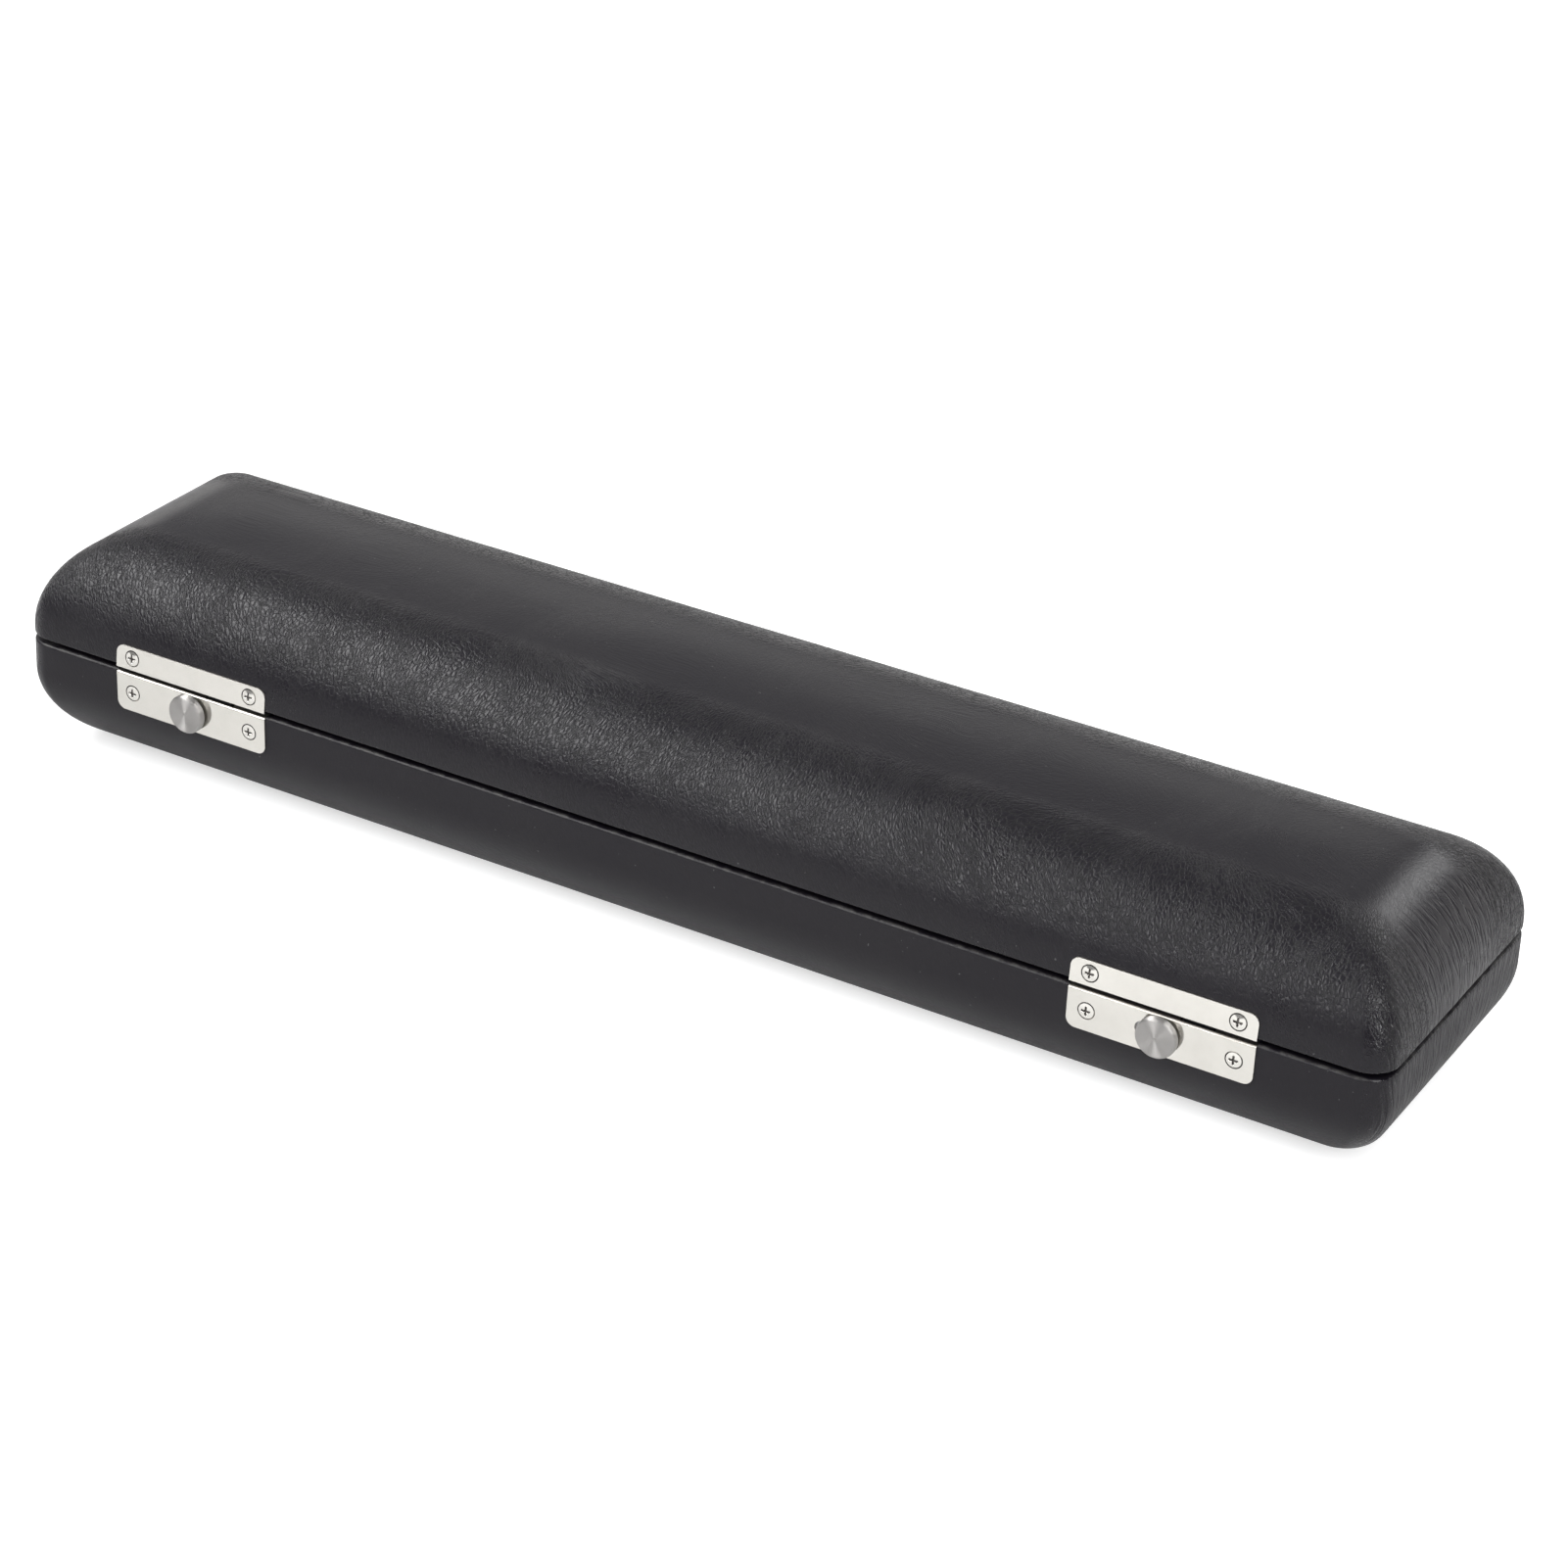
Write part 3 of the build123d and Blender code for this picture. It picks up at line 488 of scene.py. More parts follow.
@dataclass(frozen=True)
class Leatherette(Finish):
    """Black leatherette: fine cells on the arcs, drawn creases over the ends.

    Grain and crease values are shares of the bump's depth. A span is where a step starts and
    ends; arc and wall spans are distances from the middle plane, crease_fade is in levels.
    """

    color: Color = (0.0052, 0.0041, 0.0068)
    worn_and_lit: Color = (0.0094, 0.008, 0.0102)
    speck: Color = (0.12, 0.12, 0.12)
    # A painted highlight along the rim's rolled outer edge, where that edge would catch the light.
    rim_highlight: Color = (0.05, 0.049, 0.048)
    # Painted shade in the grain's cracks.
    crack_shade_color: Color = (0.002, 0.002, 0.002)
    roughness: float = 0.235
    shine: float = 0.3
    depth: float = 0.000135
    cells: float = 1000.0
    drawn_out: float = 0.56
    lean: float = 0.15
    sway: float = 0.35
    sway_noise: Texture = (11.0, 2.0, 0.5)
    sway_span: Span = (0.35, 0.65)
    arc_grain: float = 1.0
    arc_least: float = 0.84
    arc_span: Span = (15.0 * MM, 24.0 * MM)
    flat_grain: float = 0.16
    wall_grain: float = 0.42
    wall_span: Span = (40.5 * MM, 43.6 * MM)
    fine_noise: Texture = (4200.0, 2.0, 0.6)
    fine_share: float = 0.035
    crease: float = 1.7
    crease_stretch: Triple = (430.0, 46.0, 30.0)
    crease_fan: Span = (1.25, 5.0)
    crease_noise: Texture = (1.0, 2.0, 0.55)
    crease_span: Span = (0.0, 0.1)
    crease_fade: Span = (46.0 * MM, 57.0 * MM)
    crease_faint: float = 0.3
    end_span: Span = (0.3, 0.72)
    rub_noise: Texture = (21.0, 4.0, 0.6)
    rub_span: Span = (0.36, 0.8)
    rub_share: float = 0.55
    speck_noise: Texture = (900.0, 1.0, 0.5)
    speck_span: Span = (0.785, 0.81)
    speck_share: float = 0.5
    crack_share: float = 0.6
    crack_dull: float = 0.24
    haze_noise: Texture = (60.0, 4.0, 0.65)
    haze_dull: float = 0.1
    mitre_span: Span = (0.1, 0.3)
    corner_shine: float = 0.12
    rim: float = 0.0
    rim_band: float = 0.75 * MM
    rim_highlight_noise: Texture = (330.0, 4.0, 0.7)
    rim_highlight_span: Span = (0.36, 0.66)
    rim_highlight_sides: Span = (43.5 * MM, 44.7 * MM)
    rim_highlight_ends: Span = (198.5 * MM, 199.7 * MM)

    def constants(self) -> dict[str, object]:
        """A low, soft shine."""
        return {"Specular IOR Level": self.shine}

    def paint(self, graph: Graph, shader: bpy.types.Node) -> None:
        """Joins grain, creases, wear, painted shade, a painted rim highlight and shine to the
        shader.

        Args:
            graph: the material's graph.
            shader: the Principled node.
        """
        spot = Spot.read(graph)
        grain = self.grain(graph, spot)
        bump(graph, shader, self.surface(graph, spot, grain["Height"]), self.depth)
        graph.feed(shader.inputs["Base Color"], self.tone(graph, spot, grain["Crack"]))
        graph.feed(shader.inputs["Roughness"], self.dullness(graph, spot, grain["Crack"]))

    def grain(self, graph: Graph, spot: Spot) -> dict[str, Socket]:
        """Places the grain: strong on the arcs, faint on the flat, weaker on the walls.

        Args:
            graph: the material's graph.
            spot: the point's sockets.

        Returns:
            The grain group's outputs.
        """
        arc = graph.ramp(spot.out_y, *self.arc_span)
        arc = graph.blend(arc, self.flat_grain, self.arc_grain)
        wall = graph.ramp(spot.out_y, *self.wall_span, 1.0, self.wall_grain)
        rise = graph.math("SUBTRACT", spot.z, spot.out_y)
        sway = graph.noise(spot.place, self.sway_noise)
        lean = graph.ramp(sway, *self.sway_span, self.lean - self.sway, self.lean + self.sway)
        leaned = graph.join(graph.math("MULTIPLY_ADD", rise, lean, spot.x),
                            graph.math("MULTIPLY", spot.out_y, self.drawn_out),
                            graph.math("MULTIPLY", spot.z, self.drawn_out))
        return GRAIN.use(graph, {"Place": leaned, "Cells": self.cells, "Least": self.arc_least,
                                 "Depth": graph.math("MULTIPLY", arc, wall)})

    def creases(self, graph: Graph, spot: Spot) -> Socket:
        """Long creases that fan over the end, where the covering was stretched.

        Args:
            graph: the material's graph.
            spot: the point's sockets.

        Returns:
            Their height.
        """
        across, along, out = self.crease_stretch
        widest, narrowing = self.crease_fan
        fan = graph.math("MULTIPLY", spot.y, graph.math(
            "SUBTRACT", widest, graph.math("MULTIPLY", spot.z, narrowing)))
        down = graph.math("SUBTRACT", spot.z, spot.out_x)
        drawn = graph.join(graph.math("MULTIPLY", fan, across),
                           graph.math("MULTIPLY", down, along),
                           graph.math("MULTIPLY", spot.out_x, out))
        lines = graph.math("SUBTRACT", graph.noise(drawn, self.crease_noise), MIDDLE[0])
        ridges = graph.ramp(graph.math("ABSOLUTE", lines), *self.crease_span)
        fade = graph.ramp(spot.z, *self.crease_fade, 1.0, self.crease_faint)
        return graph.math("MULTIPLY", ridges, fade)

    def surface(self, graph: Graph, spot: Spot, grain: Socket) -> Socket:
        """Adds the creases at the ends and a fine tooth to the grain.

        Args:
            graph: the material's graph.
            spot: the point's sockets.
            grain: the grain's height.

        Returns:
            The height of the surface.
        """
        ends = graph.ramp(graph.math("ABSOLUTE", spot.facing_x), *self.end_span, 0.0, self.crease)
        drawn = graph.math("MULTIPLY", self.creases(graph, spot), ends)
        fine = graph.math("MULTIPLY", graph.noise(spot.place, self.fine_noise), self.fine_share)
        return graph.math("ADD", graph.math("ADD", grain, drawn), fine)

    def tone(self, graph: Graph, spot: Spot, crack: Socket) -> Socket:
        """The colour: rubbed in patches, with pale specks, painted shade in the cracks and a
        painted highlight along the rim.

        Args:
            graph: the material's graph.
            spot: the point's sockets.
            crack: how deep in a crack the point lies.

        Returns:
            The colour.
        """
        rubbed = graph.ramp(graph.noise(spot.place, self.rub_noise), *self.rub_span)
        tone = graph.tint(graph.math("MULTIPLY", rubbed, self.rub_share), self.color, self.worn_and_lit)
        specks = graph.ramp(graph.noise(spot.place, self.speck_noise), *self.speck_span)
        tone = graph.tint(graph.math("MULTIPLY", specks, self.speck_share), tone, self.speck)
        # Painted shade in the grain's cracks.
        cracks = graph.math("MULTIPLY", crack, self.crack_share)
        tone = graph.tint(cracks, tone, self.crack_shade_color)
        # Paints a highlight along the rim's rolled outer edge.
        return graph.tint(self.rim_highlight_mask(graph, spot), tone, self.rim_highlight) if self.rim else tone

    def rim_highlight_mask(self, graph: Graph, spot: Spot) -> Socket:
        """Where a painted highlight runs along the rim's outer edge, broken up by noise.

        Args:
            graph: the material's graph.
            spot: the point's sockets.

        Returns:
            A mask.
        """
        near = graph.math("ABSOLUTE", graph.math("SUBTRACT", spot.z, self.rim))
        # The painted rim highlight: near the rim's level, broken up by noise, on the outside only.
        worn_and_lit = graph.math("MULTIPLY", graph.ramp(near, 0.0, self.rim_band, 1.0, 0.0),
                          graph.ramp(graph.noise(spot.place, self.rim_highlight_noise), *self.rim_highlight_span))
        outside = graph.math("MAXIMUM", graph.ramp(spot.out_y, *self.rim_highlight_sides),
                             graph.ramp(spot.out_x, *self.rim_highlight_ends))
        return graph.math("MULTIPLY", worn_and_lit, outside)

    def dullness(self, graph: Graph, spot: Spot, crack: Socket) -> Socket:
        """The roughness: hazed in patches, duller in cracks, shinier along the mitres.

        Args:
            graph: the material's graph.
            spot: the point's sockets.
            crack: how deep in a crack the point lies.

        Returns:
            The roughness.
        """
        haze = graph.math("MULTIPLY", graph.noise(spot.place, self.haze_noise), self.haze_dull)
        dull = graph.math("ADD", self.roughness, haze)
        dull = graph.math("ADD", dull, graph.math("MULTIPLY", crack, self.crack_dull))
        mitre = graph.math("ABSOLUTE", graph.math("MULTIPLY", spot.facing_x, spot.facing_y))
        shine = graph.ramp(mitre, *self.mitre_span, 0.0, self.corner_shine)
        return graph.math("SUBTRACT", dull, shine)


@dataclass(frozen=True)
class Metal(Finish):
    """Plated sheet metal with handling marks."""

    color: Color = (0.74, 0.72, 0.675)
    dark: Color = (0.56, 0.545, 0.5)
    roughness: float = 0.07
    scratches: float = 0.5
    scratch_tone: float = 0.25
    scratch_dull: float = 0.1
    depth: float = 0.000004
    spun: float = 0.0
    spun_turn: float = 0.25
    haze_span: Span = (0.35, 0.75)
    haze_mix: float = 0.3
    haze_dull: float = 0.1
    bend_dull_and_shade: float = 0.0
    bend_span: Span = (0.1, 0.45)
    bend_shade_mix: float = 2.0
    # A painted shade for faces that turn upwards, as on a plate's bent top edge, darkening its
    # reflection.
    bend_shade_tone: Color = (0.33, 0.3, 0.27)

    def constants(self) -> dict[str, object]:
        """Bare metal, turned on a lathe where it is spun."""
        return {"Metallic": 1.0, "Anisotropic": self.spun, "Anisotropic Rotation": self.spun_turn}

    def paint(self, graph: Graph, shader: bpy.types.Node) -> None:
        """Joins haze and hair scratches to colour, shine and surface, with more roughness and a
        painted shade where faces turn upwards.

        Args:
            graph: the material's graph.
            shader: the Principled node.
        """
        wear = WEAR.use(graph, {"Place": graph.place(), "Amount": self.scratches})
        haze = graph.ramp(wear["Haze"], *self.haze_span, 0.0, self.haze_mix)
        tone = graph.tint(haze, self.color, self.dark)
        scratched = graph.math("MULTIPLY", wear["Scratch"], self.scratch_tone)
        tone = graph.tint(scratched, tone, self.dark)
        upward = graph.split(graph.normal())[2]
        # Faces that turn upwards get more roughness and a painted shade over their colour.
        bent = graph.ramp(upward, *self.bend_span, 0.0, self.bend_dull_and_shade)
        over = graph.math("MULTIPLY", bent, self.bend_shade_mix, clamp=True)
        graph.feed(shader.inputs["Base Color"], graph.tint(over, tone, self.bend_shade_tone))
        dull = graph.math("MULTIPLY", wear["Haze"], self.haze_dull)
        dull = graph.math("ADD", graph.math("ADD", self.roughness, dull), bent)
        dull = graph.math("ADD", dull, graph.math("MULTIPLY", wear["Scratch"], self.scratch_dull))
        graph.feed(shader.inputs["Roughness"], dull)
        bump(graph, shader, graph.math("SUBTRACT", wear["Haze"], wear["Scratch"]), self.depth)
        if self.spun:
            tangent = graph.add("ShaderNodeTangent", direction_type="RADIAL", axis="Y")
            graph.feed(shader.inputs["Tangent"], tangent.outputs[0])


@dataclass(frozen=True)
class Plush(Finish):
    """Short-piled cloth that catches light at its edges."""

    color: Color = (0.007, 0.011, 0.036)
    # The brushed strokes are real; their lighter colour is a painted sheen.
    brushed: Color = (0.012, 0.019, 0.06)
    # Painted shade between the tufts.
    shaded: Color = (0.004, 0.007, 0.02)
    shaded_span: Span = (0.3, 0.6)
    shaded_share: float = 0.55
    tufts: float = 2600.0
    depth: float = 0.00028
    roughness: float = 0.92
    shine: float = 0.15
    sheen: float = 0.3
    sheen_roughness: float = 0.4
    sheen_tint: Color = (0.45, 0.55, 0.9)

    def constants(self) -> dict[str, object]:
        """Dull, with a sheen.

        Returns:
            Constants set on the shader's own sockets.
        """
        return {"Roughness": self.roughness, "Specular IOR Level": self.shine,
                "Sheen Weight": self.sheen, "Sheen Roughness": self.sheen_roughness,
                "Sheen Tint": self.sheen_tint}

    def paint(self, graph: Graph, shader: bpy.types.Node) -> None:
        """Joins tufts to the surface, and brushed strokes as a painted sheen and painted shade
        between the tufts to the colour.

        Args:
            graph: the material's graph.
            shader: the Principled node.
        """
        pile = PILE.use(graph, {"Place": graph.place(), "Tufts": self.tufts})
        # Brushed strokes are painted lighter, as the sheen that brushed pile catches.
        tone = graph.tint(pile["Nap"], self.color, self.brushed)
        # Painted shade between the tufts.
        between = graph.ramp(pile["Height"], *self.shaded_span, self.shaded_share, 0.0)
        graph.feed(shader.inputs["Base Color"], graph.tint(between, tone, self.shaded))
        bump(graph, shader, pile["Height"], self.depth)


@dataclass(frozen=True)
class Board(Finish):
    """Raw wood or pressed board under the coverings."""

    color: Color = (0.42, 0.29, 0.17)
    dark: Color = (0.24, 0.15, 0.08)
    streak: Triple = (22.0, 420.0, 420.0)
    fibre_noise: Texture = (1.0, 5.0, 0.6)
    fibre_span: Span = (0.35, 0.7)
    roughness: float = 0.78
    shine: float = 0.3
    depth: float = 0.0001

    def constants(self) -> dict[str, object]:
        """Bare and dry."""
        return {"Roughness": self.roughness, "Specular IOR Level": self.shine}

    def paint(self, graph: Graph, shader: bpy.types.Node) -> None:
        """Joins fibres along the board to colour and surface.

        Args:
            graph: the material's graph.
            shader: the Principled node.
        """
        drawn = graph.vector("MULTIPLY", graph.place(), self.streak)
        fibres = graph.noise(drawn, self.fibre_noise)
        tone = graph.tint(graph.ramp(fibres, *self.fibre_span), self.color, self.dark)
        graph.feed(shader.inputs["Base Color"], tone)
        bump(graph, shader, fibres, self.depth)


# Each half gets a painted highlight along its rim's outer edge, at the level given as rim.
LID_LEATHER = Leatherette("lid_leatherette_black", "leatherette", rim=32.3 * MM,
                          rim_band=0.4 * MM)
BASE_LEATHER = Leatherette("base_leatherette_black", "leatherette", arc_grain=0.14,
                           flat_grain=0.14, wall_grain=0.5, crease=1.0, depth=0.00024,
                           roughness=0.33, shine=0.27, rim=31.0 * MM)
PANEL_LEATHER = Leatherette("panel_leatherette_black", "leatherette", arc_grain=0.5,
                            flat_grain=0.5, wall_grain=1.0, crease=0.0, roughness=0.5)
# The plates' bent top edges get more roughness and a painted shade.
NICKEL = Metal("polished_nickel", "nickel", bend_dull_and_shade=0.24)
KNOB_NICKEL = Metal("spun_nickel", "nickel", color=(0.41, 0.398, 0.388), dark=(0.3, 0.29, 0.28),
                    roughness=0.44, spun=0.9, scratches=0.3)
SCREW_NICKEL = Metal("screw_nickel", "screw_nickel", roughness=0.2, dark=(0.34, 0.32, 0.29))
HINGE_NICKEL = Metal("hinge_nickel", "hinge_nickel", roughness=0.24, scratches=0.7)
# Painted shade in the screws' cross recesses.
RECESS_SHADE = Metal("screw_recess_shade", "screw_nickel", color=(0.16, 0.15, 0.14), dark=(0.04, 0.04, 0.04),
               roughness=0.3)
# A dark ring with paler patches painted round each screw head, as the shade and reflection in its
# countersink.
COUNTERSINK_SHADE = Metal("screw_countersink_shade", "screw_nickel", color=(0.035, 0.033, 0.03), dark=(0.4, 0.38, 0.34),
              roughness=0.4, haze_mix=1.0, haze_span=(0.5, 0.62))
# The keepers are painted near black, as shade in the gap between lid and base.
KEEPER_SHADE = Metal("keeper_painted_shade", "plain_steel", color=(0.02, 0.02, 0.022), dark=(0.01, 0.01, 0.01),
              roughness=0.5)
STEEL = Metal("zinc_plated_steel", "plain_steel", color=(0.55, 0.55, 0.56),
              dark=(0.36, 0.36, 0.38), roughness=0.36, scratches=0.8)
PLUSH = Plush("blue_plush", "plush")
LIP_CLOTH = Plush("blue_lip_cloth", "lip_cloth", tufts=3600.0, depth=0.00012)
# The shells' plywood is painted near black, as shade where it shows in slots and gaps.
PLYWOOD = Board("plywood_painted_shade", "wood_shell", color=(0.055, 0.035, 0.022),
                dark=(0.02, 0.013, 0.009))
FIBRE = Board("pressed_fibre", "insert_board", color=(0.36, 0.28, 0.2), dark=(0.26, 0.2, 0.14),
              streak=(260.0, 260.0, 260.0))


# ---------------------------------------------------------------- mesh tools
LEAST_RADIUS = 0.01  # millimetres, what a ring's corner keeps
MERGE_UNDER = 2e-6  # metres, below which two of a solid's vertices are one
COPLANAR_UNDER = 0.6  # degrees, below which a solid's triangles are one face
FLAT_WEIGHT = 60  # percent, how far large faces win over small ones in the shading
TUBE_SIDES = 8
CLEAR = 60.0  # millimetres, where a cutter ends, outside the case
PAST_RIM = 1.0  # millimetres, how far a cutter reaches past a rim
WALL_LEAN = 5.14  # degrees, how far the lid's screws lean back with its wall


class Face(Enum):
    """Which long wall a piece sits on: the sign of its outward Y."""

    FRONT = -1
    BACK = 1

    def outward(self, lean: float = 0.0) -> Vector:
        """The way out of the wall where it leans back, in degrees."""
        turn = math.radians(lean)
        return Vector((0, self.value * math.cos(turn), math.sin(turn)))


def publish(bm: bmesh.types.BMesh, name: str, smooth_under: float = 40.0) -> bpy.types.Object:
    """Makes a named object from mesh data, smooth but for its sharp edges.

    Args:
        bm: the mesh data, freed here.
        name: the object's name.
        smooth_under: degrees, above which an edge stays sharp.

    Returns:
        The object, linked to the scene.
    """
    bmesh.ops.recalc_face_normals(bm, faces=bm.faces)
    limit = math.radians(smooth_under)
    for edge in bm.edges:
        edge.smooth = len(edge.link_faces) == 2 and edge.calc_face_angle(math.pi) < limit
    for face in bm.faces:
        face.smooth = True
    mesh = bpy.data.meshes.new(name)
    bm.to_mesh(mesh)
    bm.free()
    made = bpy.data.objects.new(name, mesh)
    bpy.context.scene.collection.objects.link(made)
    return made


def settle(piece: bpy.types.Object) -> bpy.types.Object:
    """Applies a piece's modifiers to its mesh.

    Args:
        piece: the piece.

    Returns:
        The same piece, without modifiers.
    """
    bpy.context.view_layer.update()
    graph = bpy.context.evaluated_depsgraph_get()
    mesh = bpy.data.meshes.new_from_object(piece.evaluated_get(graph))
    old = piece.data
    piece.modifiers.clear()
    piece.data = mesh
    mesh.name = piece.name
    bpy.data.meshes.remove(old)
    return piece


def weigh_normals(piece: bpy.types.Object) -> bpy.types.Object:
    """Lets large faces steer the shading, so flats look flat beside their bevels.

    Args:
        piece: the piece.

    Returns:
        The same piece.
    """
    modifier = piece.modifiers.new("weigh", "WEIGHTED_NORMAL")
    modifier.keep_sharp = True
    modifier.weight = FLAT_WEIGHT
    return settle(piece)


def dress(piece: bpy.types.Object, finish: Finish) -> bpy.types.Object:
    """Gives a piece one finish.

    Args:
        piece: the piece.
        finish: its finish.

    Returns:
        The same piece.
    """
    piece.data.materials.clear()
    piece.data.materials.append(finish.material())
    return piece


def install(piece: bpy.types.Object, finish: Finish, body: str, *nodes: str) -> bpy.types.Object:
    """Dresses a piece, sets it on a body and lets it stand for CAD nodes.

    Args:
        piece: the piece.
        finish: its finish.
        body: the body that it rides on.
        nodes: the CAD nodes that it stands for, if any.

    Returns:
        The same piece.
    """
    dress(piece, finish)
    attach(piece, body)
    if nodes:
        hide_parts(*nodes)
    report(piece, *nodes)
    return piece


def report(piece: bpy.types.Object, *nodes: str) -> None:
    """Logs a finished piece and what it stands for."""
    LOG.info("%s: %d faces, stands for %s", piece.name, len(piece.data.polygons), nodes)


@dataclass(frozen=True)
class Ring:
    """One level outline of a rounded rectangle, in millimetres."""

    half_x: float
    half_y: float
    radius: float
    level: float


@dataclass(frozen=True)
class Weave:
    """How many spans a ring has along its sides and corners. short is even."""

    long: int = 110
    short: int = 20
    corner: int = 12

    @property
    def total(self) -> int:
        """Points on one ring."""
        return 2 * (self.long + self.short + 2 * self.corner)

    def points(self, ring: Ring) -> np.ndarray:
        """Lays points on a ring.

        Args:
            ring: the outline.

        Returns:
            Its points, in millimetres, anticlockwise from the front's left end.
        """
        radius = min(ring.radius, ring.half_x - LEAST_RADIUS, ring.half_y - LEAST_RADIUS)
        radius = max(radius, LEAST_RADIUS)
        run_x, run_y = ring.half_x - radius, ring.half_y - radius
        out = []
        corners = [(run_x, -run_y, -90), (run_x, run_y, 0), (-run_x, run_y, 90),
                   (-run_x, -run_y, 180)]
        starts = [(-run_x, -ring.half_y), (ring.half_x, -run_y), (run_x, ring.half_y),
                  (-ring.half_x, run_y)]
        ends = [(run_x, -ring.half_y), (ring.half_x, run_y), (-run_x, ring.half_y),
                (-ring.half_x, -run_y)]
        for k in range(4):
            count = self.long if k % 2 == 0 else self.short
            t = np.arange(count)[:, None] / count
            out.append(np.array(starts[k]) * (1 - t) + np.array(ends[k]) * t)
            cx, cy, first = corners[k]
            angle = np.radians(first + 90 * np.arange(self.corner) / self.corner)
            out.append(np.c_[cx + radius * np.cos(angle), cy + radius * np.sin(angle)])
        flat = np.concatenate(out)
        return np.c_[flat, np.full(len(flat), ring.level)]

    def rows(self, rings: Iterable[Ring]) -> list[np.ndarray]:
        """The points of several rings."""
        return [self.points(ring) for ring in rings]

    def opposite(self, index: int) -> int:
        """The point across the middle plane from another."""
        across = 2 * self.long + 2 * self.corner + self.short
        return (across - index) % self.total


def skin(bm: bmesh.types.BMesh, rings: Sequence[Sequence], closed: bool) -> list[list]:
    """Joins rings of points, in millimetres, with four-sided faces.

    Args:
        bm: the mesh to add to.
        rings: rows of points, all of one length.
        closed: whether the last ring joins the first.

    Returns:
        The vertices, ring by ring.
    """
    rows = [[bm.verts.new(p * MM) for p in ring] for ring in rings]
    pairs = list(zip(rows, rows[1:])) + ([(rows[-1], rows[0])] if closed else [])
    for low, high in pairs:
        for i in range(len(low)):
            j = (i + 1) % len(low)
            bm.faces.new((low[i], low[j], high[j], high[i]))
    return rows


def cap(bm: bmesh.types.BMesh, row: list, weave: Weave) -> None:
    """Closes a ring with strips from front to back, its straight ends in the outermost two.

    Args:
        bm: the mesh to add to.
        row: the ring's vertices.
        weave: what the ring was woven with.
    """
    first, last = -weave.corner, weave.long + weave.corner
    for i in range(first, last):
        far = [weave.opposite(i + 1), weave.opposite(i)]
        if i == first:
            far += list(range(weave.opposite(i) + 1, weave.total + first))
        near = [i, i + 1]
        if i == last - 1:
            near += list(range(i + 2, weave.opposite(i + 1)))
        bm.faces.new([row[index % weave.total] for index in near + far])


def stack(bm: bmesh.types.BMesh, rings: Sequence[Sequence], weave: Weave) -> None:
    """Joins rings and closes the first and the last.

    Args:
        bm: the mesh to add to.
        rings: rows of points, in millimetres.
        weave: what the rings were woven with.
    """
    rows = skin(bm, rings, closed=False)
    cap(bm, rows[0], weave)
    cap(bm, rows[-1], weave)


def carve(piece: bpy.types.Object, cutters: Sequence[bpy.types.Object]) -> bpy.types.Object:
    """Cuts closed pieces out of another and removes them.

    Args:
        piece: what is cut.
        cutters: what is cut out of it.

    Returns:
        The cut piece.
    """
    for cutter in cutters:
        modifier = piece.modifiers.new("cut", "BOOLEAN")
        modifier.operation = "DIFFERENCE"
        modifier.solver = "EXACT"
        modifier.object = cutter
    settle(piece)
    for cutter in cutters:
        bpy.data.objects.remove(cutter)
    return piece


def tablet(width: float, low: float, high: float, depth: Span, radius: float = 0.0,
           round_top: bool = False, steps: int = 8) -> bpy.types.Object:
    """A cutter: an upright flat block, two of its corners rounded.

    Args:
        width: along X, centred.
        low: its lowest level.
        high: its highest level.
        depth: its two Y limits.
        radius: of the two rounded corners, which are the lower ones unless round_top is set.
        round_top: rounds the upper corners instead.
        steps: spans round a rounded corner.

    Returns:
        The block, placed about x = 0. All sizes are in millimetres.
    """
    half = width / 2
    outline = []
    for sx, sz, first in ((1, 1, 0), (-1, 1, 90), (-1, -1, 180), (1, -1, 270)):
        rounded = radius if (sz > 0) == round_top else 0.0
        cx, cz = sx * (half - rounded), (high if sz > 0 else low) - sz * rounded
        for turn in quarter_turn(steps) if rounded else [math.radians(45)]:
            angle = math.radians(first) + turn
            outline.append((cx + rounded * math.cos(angle), cz + rounded * math.sin(angle)))
    bm = bmesh.new()
    near, far = ([bm.verts.new(Vector((x, y, z)) * MM) for x, z in outline] for y in depth)
    bm.faces.new(near)
    bm.faces.new(list(reversed(far)))
    for i in range(len(near)):
        j = (i + 1) % len(near)
        bm.faces.new((near[j], near[i], far[i], far[j]))
    return publish(bm, "cutter")


def softened(node: str, name: str, width: float, segments: int = 2,
             over: float = 32.0, smooth_under: float = 50.0) -> bpy.types.Object:
    """A copy of a CAD node's mesh with its edges rolled over.

    Args:
        node: the CAD node to copy.
        name: the new object's name.
        width: how wide the rolled edge is, in millimetres.
        segments: spans across the rolled edge.
        over: degrees, above which an edge is rolled.
        smooth_under: degrees, above which an edge stays sharp in the shading.

    Returns:
        The object. The node itself is left as it is.
    """
    bm = bmesh.new()
    bm.from_mesh(bpy.data.objects[node].data)
    bmesh.ops.remove_doubles(bm, verts=bm.verts, dist=MERGE_UNDER)
    bmesh.ops.dissolve_limit(bm, angle_limit=math.radians(COPLANAR_UNDER), verts=bm.verts,
                             edges=bm.edges, delimit={"SHARP"})
    edges = [e for e in bm.edges
             if len(e.link_faces) == 2 and e.calc_face_angle(0) > math.radians(over)]
    bmesh.ops.bevel(bm, geom=edges, offset=width * MM, offset_type="OFFSET", segments=segments,
                    profile=0.5, affect="EDGES", clamp_overlap=True)
    return weigh_normals(publish(bm, name, smooth_under))


def quarter(straight: float, radius: float, depth: float) -> float:
    """How far an arc has run in at a depth from the rim, after its straight band."""
    past = max(depth - straight, 0.0)
    return radius - math.sqrt(max(radius**2 - past**2, 0.0))


